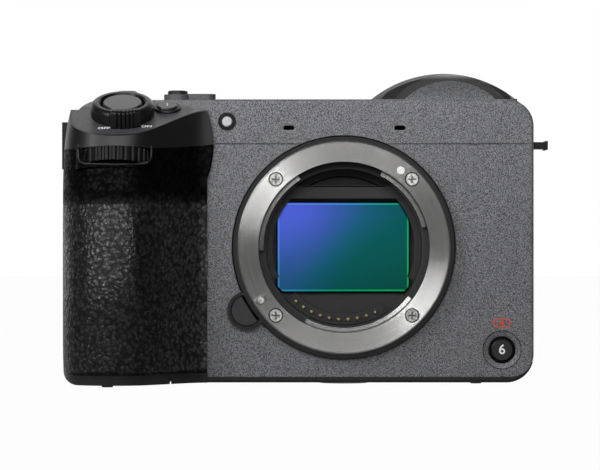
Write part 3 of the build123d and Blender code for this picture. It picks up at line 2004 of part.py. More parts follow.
def joystick_gimbal():
    place = Plane(origin=(stick_x, stick_pivot_y, stick_z), x_dir=(-1, 0, 0), z_dir=(0, 1, 0))
    ring = extrude(disc(stick_ring, stick_ring_bore), amount=stick_ring_thick * half, both=True)
    reach = stick_ring + stick_pin_reach
    pins = Rot(0, quarter, 0) * centred_rod(stick_pin, reach * 2)
    pins = pins - centred_rod(stick_ring - stick_pin, overrun)
    sway_hole = Rot(quarter, 0, 0) * centred_rod(stick_sway_pin + pin_gap, stick_ring * 2 + overrun)
    return place * (ring + pins - sway_hole)


def joystick_cap():
    place = Plane(origin=(stick_x, stick_pivot_y, stick_z), x_dir=(-1, 0, 0), z_dir=(0, 1, 0))
    face_gap = body_rear - stick_pivot_y + stick_head_gap
    stem = extrude(Circle(stick_stem), amount=face_gap + pin_gap)
    head = Pos(0, 0, face_gap) * extrude(Circle(stick_head), amount=stick_head_thick)
    head = fillet(head.faces().sort_by(Axis.Z)[-1].edges(), stick_head_thick * half)
    ball = Sphere(stick_ball)
    sway_pin = Rot(quarter, 0, 0) * centred_rod(stick_sway_pin, stick_ring * 2 - stick_pin)
    return place * (stem + head + ball + sway_pin)


# Monitor


def monitor_panel():
    face = rounded_rectangle(
        (monitor_left, monitor_low), (monitor_right, monitor_high), even_rounds(monitor_corner)
    )
    panel = along_y(face, monitor_front_y, monitor_rear_y)
    panel = chamfer(panel.faces().sort_by(Axis.Y)[-1].edges(), monitor_edge)
    middle = (arm_low + arm_high) * half
    socket = along_x(
        Pos(monitor_axis_y, middle) * Circle(arm_pivot + pin_gap), monitor_right - arm_pivot_long, monitor_right
    )
    return panel - glass_plate(monitor_rear_y + overrun) - socket


def glass_plate(rear_y):
    margin = glass_margin
    face = rounded_rectangle(
        (monitor_left + margin, monitor_low + margin),
        (monitor_right - margin, monitor_high - margin),
        even_rounds(monitor_corner * half),
    )
    return along_y(face, monitor_rear_y - glass_thick, rear_y)


def monitor_arm():
    knuckle = along_z(Pos(monitor_axis_x, monitor_axis_y) * Circle(arm_knuckle), arm_low, arm_high)
    pins = arm_pin_rod(arm_pin, arm_pin_long)
    slab = block(
        monitor_right + pin_gap,
        monitor_axis_x,
        monitor_axis_y - arm_half_thick,
        monitor_axis_y + arm_half_thick,
        arm_low,
        arm_high,
    )
    middle = (arm_low + arm_high) * half
    pivot = along_x(
        Pos(monitor_axis_y, middle) * Circle(arm_pivot),
        monitor_right - arm_pivot_long + pin_gap,
        monitor_right + pin_gap * 2,
    )
    return knuckle + pins + slab + pivot


# Eyepiece


def eye_profile(radius, centre_z):
    # Arched outline from the front with flat sides
    arch = Pos(eye_x, centre_z) * Circle(radius)
    box = outline(
        (eye_x - eye_half_wide, eye_low),
        (eye_x + eye_half_wide, eye_low),
        (eye_x + eye_half_wide, centre_z + radius),
        (eye_x - eye_half_wide, centre_z + radius),
    )
    lower = outline(
        (eye_x - min(radius, eye_half_wide), eye_low),
        (eye_x + min(radius, eye_half_wide), eye_low),
        (eye_x + min(radius, eye_half_wide), centre_z),
        (eye_x - min(radius, eye_half_wide), centre_z),
    )
    return (arch & box) + lower


def eye_side():
    # Outline from the side: round about the pivot in front, sloping down to the flat underside
    nose = Pos(eye_pivot_y, eye_pivot_z) * Circle(eye_front_radius)
    tail = outline(
        (eye_pivot_y, eye_pivot_z - eye_front_radius),
        (eye_slope_y, eye_low),
        (eye_body_rear_y, eye_low),
        (eye_body_rear_y, eye_arch_z + eye_arch_radius),
        (eye_pivot_y, eye_pivot_z + eye_front_radius),
    )
    return nose + tail


def evf_front_cap():
    reach = eye_half_wide
    side = along_x(eye_side(), eye_x - reach, eye_x + reach)
    return side & along_y(
        eye_profile(eye_cap_radius, eye_cap_z), eye_pivot_y - eye_front_radius, eye_cap_rear_y
    )


def evf_housing():
    reach = eye_half_wide
    side = along_x(eye_side(), eye_x - reach, eye_x + reach)
    shell = side & along_y(
        eye_profile(eye_arch_radius, eye_arch_z), eye_cap_rear_y, eye_body_rear_y
    )
    tunnel = Pos(eye_x, eye_pivot_z) * RectangleRounded(
        eye_lens_half_wide * 2 + fit_gap * 2, eye_lens_high + fit_gap * 2, cup_corner
    )
    shell = shell - along_y(tunnel, eye_body_rear_y - eye_tunnel_deep, eye_body_rear_y + overrun)
    pin = Pos(eye_pivot_y, eye_pivot_z) * Circle(eye_pin)
    long = eye_cavity_gap + eye_pin_long - pin_gap
    left = along_x(pin, eye_x - reach - long, eye_x - reach + pin_gap)
    right = along_x(pin, eye_x + reach - pin_gap, eye_x + reach + long)
    stem_room = along_x(
        Pos(diopter_y, diopter_z) * Circle(diopter_stem + pin_gap),
        eye_x + reach - diopter_stem_long - pin_gap,
        eye_x + reach + overrun,
    )
    return shell + left + right - stem_room


def cup_section(y, half_wide, top_z, low_z, top_radius):
    # Rounded lower corners under one wide top arc
    shoulder = top_z - top_radius + (top_radius ** 2 - half_wide ** 2) ** half
    arc = ThreePointArc(
        (eye_x + half_wide, shoulder), (eye_x, top_z), (eye_x - half_wide, shoulder)
    )
    sides = Polyline(
        (eye_x - half_wide, shoulder), (eye_x - half_wide, low_z),
        (eye_x + half_wide, low_z), (eye_x + half_wide, shoulder),
    )
    face = make_face(Curve() + [arc] + sides.edges())
    low_corners = face.vertices().sort_by(Axis.Y)[:2]
    face = fillet(low_corners, cup_corner * half)
    high_corners = face.vertices().sort_by(Axis.Y)[-2:]
    face = fillet(high_corners, cup_corner)
    return Plane.XZ.offset(-y) * face


def evf_eyecup():
    front = cup_section(cup_front_y, cup_front_half_wide, cup_front_top_z, eye_low, cup_top_radius)
    rear = cup_section(cup_rear_y, cup_half_wide, cup_top_z, cup_low, cup_top_radius)
    cup = loft([front, rear])
    start_y = eye_body_rear_y + fit_gap
    inner_front = cup_section(
        start_y, cup_bore_half_wide, cup_bore_top_z, cup_bore_low, cup_top_radius - cup_wall
    )
    inner_rear = cup_section(
        cup_rear_y + pin_gap,
        cup_half_wide - cup_wall,
        cup_top_z - cup_wall,
        cup_low + cup_wall,
        cup_top_radius - cup_wall,
    )
    cup = cup - loft([inner_front, inner_rear])
    housing = along_x(eye_side(), eye_x - eye_half_wide, eye_x + eye_half_wide) & along_y(
        eye_profile(eye_arch_radius, eye_arch_z), eye_cap_rear_y, eye_body_rear_y + fit_gap
    )
    cup = cup - housing
    window = Pos(eye_x, eye_pivot_z) * RectangleRounded(
        eye_lens_half_wide * 2, eye_lens_high, cup_corner * half
    )
    return cup - along_y(window, eye_body_rear_y - overrun, start_y + overrun)


def eyepiece_lens():
    front_y = eye_body_rear_y - eye_tunnel_deep
    face = Pos(eye_x, eye_pivot_z) * RectangleRounded(eye_lens_half_wide * 2, eye_lens_high, cup_corner)
    lens = along_y(face, front_y, front_y + eye_lens_thick)
    return chamfer(lens.faces().sort_by(Axis.Y)[-1].edges(), eye_lens_thick * half * half)


def diopter_dial():
    right = eye_x + eye_half_wide
    place = Plane(origin=(right, diopter_y, diopter_z), x_dir=(0, 1, 0), z_dir=(1, 0, 0))
    knob = Pos(0, 0, pin_gap) * extrude(
        ribbed_disc(diopter_radius, diopter_ribs, wheel_rib_deep), amount=diopter_thick
    )
    stem = extrude(Circle(diopter_stem), amount=-diopter_stem_long) + extrude(
        Circle(diopter_stem), amount=pin_gap * 2
    )
    return place * (knob + stem)


pieces = {
    "front_cover": front_cover,
    "top_cover": top_cover,
    "rear_cover": rear_cover,
    "bottom_plate": bottom_plate,
    "port_side_cover": port_side_cover,
    "grip_frame": grip_frame,
    "grip_rubber": grip_rubber,
    "chassis": chassis,
    "mount_bezel": mount_bezel,
    "mount_ring": mount_ring,
    "mount_screws": mount_screws,
    "mount_box": mount_box,
    "contact_block": contact_block,
    "contact_pins": contact_pins,
    "lens_release_button": lens_release_button,
    "lens_lock_pin": lens_lock_pin,
    "shutter_frame": shutter_frame,
    "sensor_glass": sensor_glass,
    "sensor_carriage": sensor_carriage,
    "stabiliser_frame": stabiliser_frame,
    "main_board": main_board,
    "fan_housing": fan_housing,
    "fan_rotor": fan_rotor,
    "battery": battery,
    "battery_door": battery_door,
    "battery_latch": battery_latch,
    "card_door": card_door,
    "audio_door": lambda: port_door(audio_low, audio_high),
    "digital_door": lambda: port_door(digital_low, digital_high),
    "power_switch": power_switch,
    "shutter_button": shutter_button,
    "custom_button_1": custom_button,
    "custom_button_2": lambda: deck_button(second_x, second_cap, second_high, wall),
    "mode_lever": mode_lever,
    "top_record_button": lambda: deck_button(deck_x, record_cap, record_high, wall),
    "front_dial": front_dial,
    "rear_dial": rear_dial,
    "front_record_button": front_record_button,
    "accessory_shoe": accessory_shoe,
    "thread_inserts": thread_inserts,
    "strap_lugs": strap_lugs,
    "front_lamps": front_lamps,
    "monitor_panel": monitor_panel,
    "monitor_glass": lambda: glass_plate(monitor_rear_y),
    "monitor_arm": monitor_arm,
    "evf_housing": evf_housing,
    "evf_front_cap": evf_front_cap,
    "evf_eyecup": evf_eyecup,
    "eyepiece_lens": eyepiece_lens,
    "diopter_dial": diopter_dial,
    "focus_button": lambda: rear_button(focus_spot),
    "menu_button": lambda: rear_button(menu_spot),
    "playback_button": lambda: rear_button(playback_spot),
    "control_wheel": control_wheel,
    "wheel_button": wheel_button,
    "joystick_gimbal": joystick_gimbal,
    "joystick_cap": joystick_cap,
}
for blade in range(blade_count):
    pieces[f"shutter_blade_{blade + 1}"] = lambda index=blade: shutter_blade(index)

os.makedirs("parts", exist_ok=True)
for name, make in pieces.items():
    made = make()
    solids = made if isinstance(made, list) else [made]
    flat = [solid for shape in solids for solid in shape.solids()]
    export_step(Compound(children=flat), f"parts/{name}.step")
    print(name, len(flat))
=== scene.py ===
import bpy
import json
from math import cos, pi, radians, sin, tan
from mathutils import Matrix, Vector
from mathutils.bvhtree import BVHTree


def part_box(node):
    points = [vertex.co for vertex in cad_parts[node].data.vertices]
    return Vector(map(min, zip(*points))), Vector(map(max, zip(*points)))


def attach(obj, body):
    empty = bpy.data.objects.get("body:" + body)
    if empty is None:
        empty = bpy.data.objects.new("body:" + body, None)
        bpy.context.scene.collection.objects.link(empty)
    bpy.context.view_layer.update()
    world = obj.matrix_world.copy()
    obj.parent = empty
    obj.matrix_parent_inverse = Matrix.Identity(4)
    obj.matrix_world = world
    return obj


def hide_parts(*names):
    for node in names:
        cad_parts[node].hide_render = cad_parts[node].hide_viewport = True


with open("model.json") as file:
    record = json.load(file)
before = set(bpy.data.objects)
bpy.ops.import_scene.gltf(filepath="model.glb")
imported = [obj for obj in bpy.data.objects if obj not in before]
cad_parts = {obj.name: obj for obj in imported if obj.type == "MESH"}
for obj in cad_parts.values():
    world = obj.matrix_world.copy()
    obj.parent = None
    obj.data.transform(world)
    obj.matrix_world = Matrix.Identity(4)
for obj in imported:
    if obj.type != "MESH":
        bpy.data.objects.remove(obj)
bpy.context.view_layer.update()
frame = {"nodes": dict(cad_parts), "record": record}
nodes = frame["nodes"]
print("frame loaded:", len(nodes), "nodes")

mm = 0.001
lensZ = 37.34 * mm  # height of the lens axis over the base
inkProud = 0.03  # height of a printed sign over its face, in millimetres
closed = 0.01  # radius at which a turned face closes, in millimetres


class Field:  # a shader socket that can be added, scaled and compared
    def __init__(self, maker, socket):
        self.maker = maker
        self.socket = socket

    def maths(self, operation, other=None, swapped=False):
        first, second = (other, self) if swapped else (self, other)
        values = {0: first} if second is None else {0: first, 1: second}
        return self.maker.node("ShaderNodeMath", {"operation": operation}, values)

    def __add__(self, other):
        return self.maths("ADD", other)

    def __radd__(self, other):
        return self.maths("ADD", other, True)

    def __sub__(self, other):
        return self.maths("SUBTRACT", other)

    def __rsub__(self, other):
        return self.maths("SUBTRACT", other, True)

    def __mul__(self, other):
        return self.maths("MULTIPLY", other)

    def __rmul__(self, other):
        return self.maths("MULTIPLY", other, True)

    def __truediv__(self, other):
        return self.maths("DIVIDE", other)

    def __rtruediv__(self, other):
        return self.maths("DIVIDE", other, True)

    def __pow__(self, other):
        return self.maths("POWER", other)

    def __gt__(self, other):
        return self.maths("GREATER_THAN", other)

    def __lt__(self, other):
        return self.maths("LESS_THAN", other)


def opaque(colour):
    return colour if isinstance(colour, Field) else (*colour, 1)


def distance(across, along):  # from an axis, of the place that two fields give
    return (across * across + along * along) ** 0.5


class NodeMaker:  # adds nodes to one shader tree and links them
    def __init__(self, tree):
        self.tree = tree

    def feed(self, socket, value):
        if isinstance(value, Field):
            self.tree.links.new(value.socket, socket)
        else:
            socket.default_value = value

    def setStops(self, elements, stops):
        while len(elements) < len(stops):
            elements.new(0.5)
        for element, (place, colour) in zip(elements, stops):
            element.position = place
            element.color = opaque(colour)

    def node(self, kind, settings=None, values=None, out=0):
        made = self.tree.nodes.new(kind)
        for key, value in (settings or {}).items():
            if key == "stops":
                self.setStops(made.color_ramp.elements, value)
            else:
                setattr(made, key, value)
        for key, value in (values or {}).items():
            self.feed(made.inputs[key], value)
        return Field(self, made.outputs[out])

    def place(self):  # position in the piece's own frame, in metres
        return self.node("ShaderNodeTexCoord", out="Object")

    def part(self, vector, axis):
        return self.node("ShaderNodeSeparateXYZ", values={0: vector}, out=axis)

    def parts(self, vector):
        return [self.part(vector, axis) for axis in "XYZ"]

    def ray(self, kind):  # 1 where such a ray looks
        return self.node("ShaderNodeLightPath", out=kind)

    def noise(self, vector, size, detail=2, rough=0.5, out=0):
        values = {"Vector": vector, "Scale": 1 / size, "Detail": detail, "Roughness": rough}
        return self.node("ShaderNodeTexNoise", values=values, out=out)

    def cells(self, vector, size, jitter=1.0):
        values = {"Vector": vector, "Scale": 1 / size, "Randomness": jitter}
        return self.node("ShaderNodeTexVoronoi", values=values)

    def ramp(self, factor, stops):
        return self.node("ShaderNodeValToRGB", {"stops": stops}, {0: factor})

    def blend(self, factor, first, second):  # sockets 6 and 7 are the colours, and 2 is their mix
        colours = {0: factor, 6: opaque(first), 7: opaque(second)}
        return self.node("ShaderNodeMix", {"data_type": "RGBA"}, colours, 2)

    def smooth(self, value, low, high, start=0.0, end=1.0):  # from start at low to end at high
        values = {0: value, 1: low, 2: high, 3: start, 4: end}
        return self.node("ShaderNodeMapRange", {"interpolation_type": "SMOOTHSTEP"}, values)

    def fade(self, value, low, high):  # 1 below low, 0 above high
        return self.smooth(value, low, high, 1, 0)

    def warp(self, vector, size, reach):  # moves points about by a noise
        push = self.noise(vector, size, out=1)
        centred = self.node("ShaderNodeVectorMath", {"operation": "SUBTRACT"}, {0: push, 1: (0.5, 0.5, 0.5)})
        scaled = self.node("ShaderNodeVectorMath", {"operation": "SCALE"}, {0: centred, "Scale": reach})
        return self.node("ShaderNodeVectorMath", {"operation": "ADD"}, {0: vector, 1: scaled})

    def bump(self, height, depth, strength=1.0):
        values = {"Height": height, "Distance": depth, "Strength": strength}
        return self.node("ShaderNodeBump", values=values)


shaderSockets = {
    "baseColour": "Base Color", "metallic": "Metallic", "roughness": "Roughness", "normal": "Normal",
    "specular": "Specular IOR Level", "coatWeight": "Coat Weight", "ior": "IOR",
}


class Finish(NodeMaker):  # one material, with the nodes that feed its shader
    def __init__(self, name, **fixed):
        self.material = bpy.data.materials.new(name)
        self.material.use_nodes = True
        super().__init__(self.material.node_tree)
        self.shader = self.tree.nodes["Principled BSDF"]
        self.drive(**fixed)

    def drive(self, **fields):
        for key, value in fields.items():
            self.feed(self.shader.inputs[shaderSockets[key]], value)
        return self


# In the finishes, sizes and levels are in metres, and the plain weights in the sums are given.
noiseRange = (0.3, 0.7)  # most values of a noise lie here

greySettings = {
    "grain": 0.00027, "fleck": 0.00018, "toneEdges": (0.46, 0.54), "cloud": 0.03, "wornMost": 0.10,
    "depth": 0.00003, "relief": 0.6, "metallic": 0.2, "roughness": 0.5, "roughSwing": 0.22,
    "dark": (0.043, 0.044, 0.048), "light": (0.258, 0.260, 0.277), "worn": (0.2, 0.2, 0.21),
    "slopeEdge": (-0.0425, -0.0405), "slopeBack": (-0.0085, -0.0075), "slopeFoot": (0.066, 0.0664),
    "slopeTop": (0.0755, 0.0775), "slopeShade": 0.6, "plateauShadeColour": (0.012, 0.012, 0.013),
}


def greyPaint(name, paint):  # pale grains on dark, with painted shade darkening the sloped control plateau
    made = Finish(name, metallic=paint["metallic"])
    at = made.place()
    across, along, level = made.parts(at)
    grain = made.noise(at, paint["grain"], detail=1, rough=0.7)
    fleck = made.noise(at, paint["fleck"], detail=0)
    cloud = made.noise(at, paint["cloud"])
    tone = made.smooth(grain * 0.5 + fleck * 0.5, *paint["toneEdges"])
    colour = made.blend(tone, paint["dark"], paint["light"])
    # painted shade: the sloped control plateau is mixed towards a near-black colour
    plateauShade = made.fade(across, *paint["slopeEdge"]) * made.fade(level, *paint["slopeTop"])
    plateauShade = plateauShade * made.smooth(level, *paint["slopeFoot"]) * made.fade(along, *paint["slopeBack"])
    colour = made.blend(plateauShade * paint["slopeShade"], colour, paint["plateauShadeColour"])
    colour = made.blend(made.smooth(cloud, *noiseRange, 0, paint["wornMost"]), colour, paint["worn"])
    rough = paint["roughness"] + (grain - 0.5) * paint["roughSwing"]
    normal = made.bump(grain + fleck * 0.5, paint["depth"], paint["relief"])
    return made.drive(baseColour=colour, roughness=rough, normal=normal)


leatherSettings = {
    "cell": 0.0012, "cellEdges": (0.05, 0.8), "patch": 0.004, "depth": 0.00022, "roughness": 0.22,
    "warpSizeShare": 1.5, "warpReachShare": 1.1, "smallShare": 0.45, "wrinkleShare": 1.7,  # of a cell
    "specular": 0.52, "front": (-0.004, -0.002), "right": (-0.056, -0.047),
    "recess": (0.0485, 0.0530), "recessDeep": 0.0036, "swell": (0.020, 0.044), "swellDeep": 0.0034,
    "cheek": (-0.070, -0.050), "cheekFoot": (0.012, 0.03), "cheekDeep": 0.0022,
    "foot": 0.0036, "footShare": 1.12, "seamShare": 1.08, "seamEdges": (0.0001, 0.00028),
    "valley": (0.0020, 0.0020, 0.0022), "top": (0.055, 0.055, 0.056),
}


def grainedRubber(name, rubber):  # small soft pebbles, smooth and dark at the foot, with painted shade in the creases and in the recess under the dial, and painted light on the right side
    made = Finish(name, specular=rubber["specular"])
    place = made.place()
    across, along, level = made.parts(place)
    cell = rubber["cell"]
    at = made.warp(place, cell * rubber["warpSizeShare"], cell * rubber["warpReachShare"])
    pebble = made.fade(made.cells(at, cell), *rubber["cellEdges"])
    small = made.fade(made.cells(at, cell * rubber["smallShare"]), *rubber["cellEdges"])
    wrinkle = made.noise(at, cell * rubber["wrinkleShare"], detail=3, rough=0.65)
    patch = made.noise(place, rubber["patch"], detail=1)
    front = made.fade(along, *rubber["front"])
    # right side of the grip: it flattens the swell, and in the colour below it lifts that side as painted
    # light
    right = made.smooth(across, *rubber["right"])
    foot = made.fade(level, rubber["foot"], rubber["foot"] * rubber["footShare"])
    seam = made.fade((level - rubber["foot"] * rubber["seamShare"]).maths("ABSOLUTE"), *rubber["seamEdges"])
    recess = made.smooth(level, *rubber["recess"]) * front
    swell = made.fade(level, *rubber["swell"]) * rubber["swellDeep"]
    cheekFoot = made.smooth(level, *rubber["cheekFoot"])
    cheek = made.smooth(across, *rubber["cheek"]) * rubber["cheekDeep"] * cheekFoot
    relief = (recess * rubber["recessDeep"] + (swell * (1 - right * 0.7) + cheek) * front) / rubber["depth"]
    grain = pebble * 0.6 + small * 0.2 + wrinkle * 0.8
    height = grain * (1 - foot) * (1 - recess * 0.6) + relief - seam * 2
    # painted shade: darker in the creases and in the recess under the dial; painted light: lighter on the
    # right side; darker at the foot
    tone = (0.2 + pebble * 0.8) * (1 - recess * 0.92) * (1 - foot * 0.8) * (0.35 + right * 0.65)
    colour = made.blend(tone, rubber["valley"], rubber["top"])
    # black metal takes the shine out of the creases and the recess as painted shade, and part of it out of
    # the foot
    shine = (1 - recess * 0.9) * (0.35 + pebble * 0.65) * (1 - foot * 0.5)
    rough = rubber["roughness"] + (1 - pebble) * 0.3 + (patch - 0.5) * 0.12 + recess * 0.2
    normal = made.bump(height, rubber["depth"])
    return made.drive(baseColour=colour, roughness=rough, metallic=1 - shine, normal=normal)


plasticSettings = {  # plain black plastic, which the changes below start from
    "spark": 0.0003, "cloud": 0.02, "depth": 0.000015, "relief": 0.5, "roughness": 0.42, "specular": 0.4,
    "metallic": 0.0, "dark": (0.008, 0.008, 0.0085), "light": (0.017, 0.017, 0.018),
}
smoothGripChanges = {
    "spark": 0.00025, "roughness": 0.40, "specular": 0.35, "dark": (0.006, 0.006, 0.0063),
    "light": (0.012, 0.012, 0.0125),
}
throatChanges = {
    "spark": 0.0002, "depth": 0.00001, "roughness": 0.5, "specular": 0.28, "dark": (0.021, 0.021, 0.022),
    "light": (0.038, 0.038, 0.040), "throatShade": (0.0538, 0.0546), "throatShadeColour": (0.002, 0.002, 0.002),
}
buttonChanges = {
    "depth": 0.000006, "roughness": 0.3, "specular": 0.5, "dark": (0.014, 0.014, 0.0145),
    "light": (0.018, 0.018, 0.0185),
}
darkGreyChanges = {
    "depth": 0.00001, "roughness": 0.4, "dark": (0.019, 0.019, 0.021), "light": (0.042, 0.042, 0.045),
}
dialChanges = {
    "roughness": 0.5, "specular": 0.22, "dark": (0.002, 0.002, 0.002), "light": (0.005, 0.005, 0.0055),
}
bezelChanges = {
    "roughness": 0.2, "specular": 0.5, "dark": (0.003, 0.003, 0.003), "light": (0.006, 0.006, 0.0065),
}
leverChanges = {
    "depth": 0.00003, "roughness": 0.45, "dark": (0.05, 0.05, 0.053), "light": (0.14, 0.14, 0.15),
}
deepBlackChanges = {
    "depth": 0.00001, "roughness": 0.7, "specular": 0.1, "dark": (0.0015, 0.0015, 0.0015),
    "light": (0.003, 0.003, 0.003),
}


def satinPlastic(name, changes=None):
    plastic = {**plasticSettings, **(changes or {})}
    made = Finish(name, specular=plastic["specular"], metallic=plastic["metallic"])
    at = made.place()
    spark = made.noise(at, plastic["spark"], rough=0.6)
    cloud = made.noise(at, plastic["cloud"])
    tone = made.smooth(spark * 0.7 + cloud * 0.3, *noiseRange)
    colour = made.blend(tone, plastic["dark"], plastic["light"])
    if "throatShade" in plastic:  # painted shade: darker above a level, deep in the throat
        throatShade = made.smooth(made.part(at, "Z"), *plastic["throatShade"])
        colour = made.blend(throatShade, colour, plastic["throatShadeColour"])
    rough = plastic["roughness"] + (cloud - 0.5) * 0.12 + (spark - 0.5) * 0.1
    normal = made.bump(spark, plastic["depth"], plastic["relief"])
    return made.drive(baseColour=colour, roughness=rough, normal=normal)


steelSettings = {
    "groove": 0.00021, "line": 0.0003, "wideShare": 5, "depth": 0.0000225, "stray": 0.4, "roughness": 0.25,
    "toneEdges": (0.35, 0.65), "dark": (0.40, 0.397, 0.39), "light": (0.49, 0.486, 0.475),
    "screw": 0.018526, "seat": 0.00192, "seatShare": 1.06, "seatShadowColour": (0.006, 0.006, 0.006),
}


def turnedSteel(name, steel):  # grooves turned round the lens axis, with painted shadow in black round the four screw seats
    made = Finish(name)
    at = made.place()
    across, up = made.part(at, "X"), made.part(at, "Z") - lensZ
    radius = distance(across, up)
    rings = made.node("ShaderNodeCombineXYZ", values={"X": radius})
    fine = made.noise(rings, steel["line"], rough=0.7)
    wide = made.noise(rings, steel["line"] * steel["wideShare"], detail=1)
    groove = (radius * (2 * pi / steel["groove"])).maths("SINE") + fine * steel["stray"]
    tone = made.smooth(fine * 0.7 + wide * 0.3, *steel["toneEdges"])
    screwX, screwZ = across.maths("ABSOLUTE") - steel["screw"], up.maths("ABSOLUTE") - steel["screw"]
    # painted shadow: black and not metallic in a disc round each screw seat
    seat = made.fade(distance(screwX, screwZ), steel["seat"], steel["seat"] * steel["seatShare"])
    colour = made.blend(seat, made.blend(tone, steel["dark"], steel["light"]), steel["seatShadowColour"])
    rough = steel["roughness"] + (wide - 0.5) * 0.08
    normal = made.bump(groove, steel["depth"])
    return made.drive(baseColour=colour, roughness=rough, metallic=1 - seat, normal=normal)


castSettings = {"scuff": 0.0015, "dark": (0.35, 0.35, 0.36), "light": (0.5, 0.5, 0.5), "roughness": 0.5}
screwSettings = {"scuff": 0.0005, "dark": (0.55, 0.55, 0.54), "light": (0.85, 0.85, 0.83), "roughness": 0.5}
goldSettings = {"scuff": 0.0004, "dark": (0.95, 0.62, 0.26), "light": (1.0, 0.86, 0.52), "roughness": 0.32}
metalRelief = {"depth": 0.00001, "strength": 0.5}


def plainMetal(name, metal):
    made = Finish(name, metallic=1.0)
    scuff = made.noise(made.place(), metal["scuff"], detail=3, rough=0.6)
    colour = made.blend(made.smooth(scuff, *noiseRange), metal["dark"], metal["light"])
    rough = metal["roughness"] + (scuff - 0.5) * 0.2
    return made.drive(baseColour=colour, roughness=rough, normal=made.bump(scuff, **metalRelief))


screwHeadSettings = {
    "scuff": 0.0005, "sunk": (-0.01380, -0.01374), "sunkShadeColour": (0.10, 0.10, 0.10), "metallic": 0.85,
    "dark": (0.32, 0.32, 0.31), "light": (0.9, 0.9, 0.88), "roughness": 0.4, "depth": 0.00002, "relief": 0.6,
}


def screwHead(name, head):  # bright dome, with painted shade in black in the cross and below the head
    made = Finish(name)
    at = made.place()
    scuff = made.noise(at, head["scuff"], detail=3, rough=0.6)
    # painted shade: black where the surface lies deeper, in the cross and below the head
    sunk = made.smooth(made.part(at, "Y"), *head["sunk"])
    bright = made.blend(made.smooth(scuff, *noiseRange), head["dark"], head["light"])
    colour = made.blend(sunk, bright, head["sunkShadeColour"])
    metallic = (1 - sunk) * head["metallic"]
    rough = head["roughness"] + (scuff - 0.5) * 0.2
    normal = made.bump(scuff, head["depth"], head["relief"])
    return made.drive(baseColour=colour, roughness=rough, metallic=metallic, normal=normal)


sensorSettings = {
    "halfWide": 0.0184, "halfHigh": 0.0125, "line": 0.00016, "inset": 0.00055, "glintMost": 0.8,
    "rippleSize": 0.012, "ripple": 0.05, "metallic": 0.9, "roughness": 0.12,
    "reflectionTints": [(0.0, (0.075, 0.115, 0.68)), (0.28, (0.032, 0.095, 0.36)), (0.47, (0.006, 0.100, 0.18)),
              (0.64, (0.0, 0.092, 0.095)), (1.0, (0.0, 0.086, 0.066))],
    "glints": [(0.0, (0.10, 0.20, 0.75)), (0.35, (0.04, 0.30, 0.60)), (0.6, (0.0, 0.42, 0.16)),
               (1.0, (0.01, 0.52, 0.10))],
}


def coatedSensor(name, coating):  # metal tinted blue to green across the window, the coating's own reflection colour spread across it as a painted reflection, with a painted glint along a line inside its edge
    made = Finish(name, metallic=coating["metallic"], roughness=coating["roughness"])
    at = made.place()
    x, z = made.part(at, "X"), made.part(at, "Z") - lensZ
    across = made.smooth(x, -coating["halfWide"], coating["halfWide"])
    down = made.fade(z, -coating["halfHigh"], coating["halfHigh"])
    ripple = (made.noise(at, coating["rippleSize"]) - 0.5) * coating["ripple"]
    diagonal = across * 0.6 + down * 0.4 + ripple
    wide, high = coating["halfWide"] - coating["inset"], coating["halfHigh"] - coating["inset"]
    line = coating["line"]
    sideGap = (x.maths("ABSOLUTE") - wide).maths("ABSOLUTE")
    levelGap = (z.maths("ABSOLUTE") - high).maths("ABSOLUTE")
    inside = (x.maths("ABSOLUTE") < wide + line) * (z.maths("ABSOLUTE") < high + line)
    # painted glint: a bright line just inside the window's edge
    edge = made.fade(sideGap.maths("MINIMUM", levelGap), line, line * 2) * inside
    colour, glint = made.ramp(diagonal, coating["reflectionTints"]), made.ramp(diagonal, coating["glints"])
    return made.drive(baseColour=made.blend(edge * coating["glintMost"], colour, glint))


glassSettings = {"smear": 0.006, "smearEdges": (0.35, 0.7), "ior": 1.5}
screenChanges = {
    "roughness": 0.06, "coat": 0.6, "dark": (0.004, 0.004, 0.005), "light": (0.007, 0.007, 0.009),
}
paneChanges = {
    "roughness": 0.05, "coat": 1.0, "dark": (0.012, 0.013, 0.016), "light": (0.016, 0.017, 0.021),
}
eyeChanges = {
    "roughness": 0.04, "coat": 1.0, "dark": (0.010, 0.012, 0.03), "light": (0.02, 0.016, 0.05),
}


def darkGlass(name, changes):  # black behind a shiny coat, with faint smears
    glass = {**glassSettings, **changes}
    made = Finish(name, roughness=glass["roughness"], ior=glass["ior"], coatWeight=glass["coat"])
    smear = made.noise(made.place(), glass["smear"], detail=3)
    tone = made.smooth(smear, *glass["smearEdges"])
    return made.drive(baseColour=made.blend(tone, glass["dark"], glass["light"]))


lampSettings = {
    "x": -0.0319, "z": 0.0717, "lens": 0.00132, "lensShare": 1.08, "tally": 0.02, "facet": 0.0004,
    "roughness": 0.3, "specular": 0.25, "bright": (0.75, 0.75, 0.76), "dull": (0.5, 0.5, 0.52),
    "ring": (0.004, 0.004, 0.0045), "window": (0.20, 0.20, 0.21),
}


def lampLens(name, lamp):  # white dome in a black ring, and the dim tally window
    made = Finish(name, roughness=lamp["roughness"], specular=lamp["specular"])
    at = made.place()
    radius = distance(made.part(at, "X") - lamp["x"], made.part(at, "Z") - lamp["z"])
    white = made.blend(made.cells(at, lamp["facet"]), lamp["bright"], lamp["dull"])
    pastLens = made.smooth(radius, lamp["lens"], lamp["lens"] * lamp["lensShare"])
    inRing = made.blend(pastLens, white, lamp["ring"])
    return made.drive(baseColour=made.blend(radius > lamp["tally"], inRing, lamp["window"]))


capSettings = {
    "x": -0.0461, "y": 0.012, "radius": 0.0019, "radiusShare": 1.04, "level": 0.0805, "spark": 0.0003,
    "rimDark": (0.012, 0.012, 0.0125), "rimLight": (0.024, 0.024, 0.025), "redDark": (0.30, 0.018, 0.014),
    "redLight": (0.42, 0.035, 0.028), "roughness": 0.3, "specular": 0.45, "depth": 0.000008, "relief": 0.5,
}


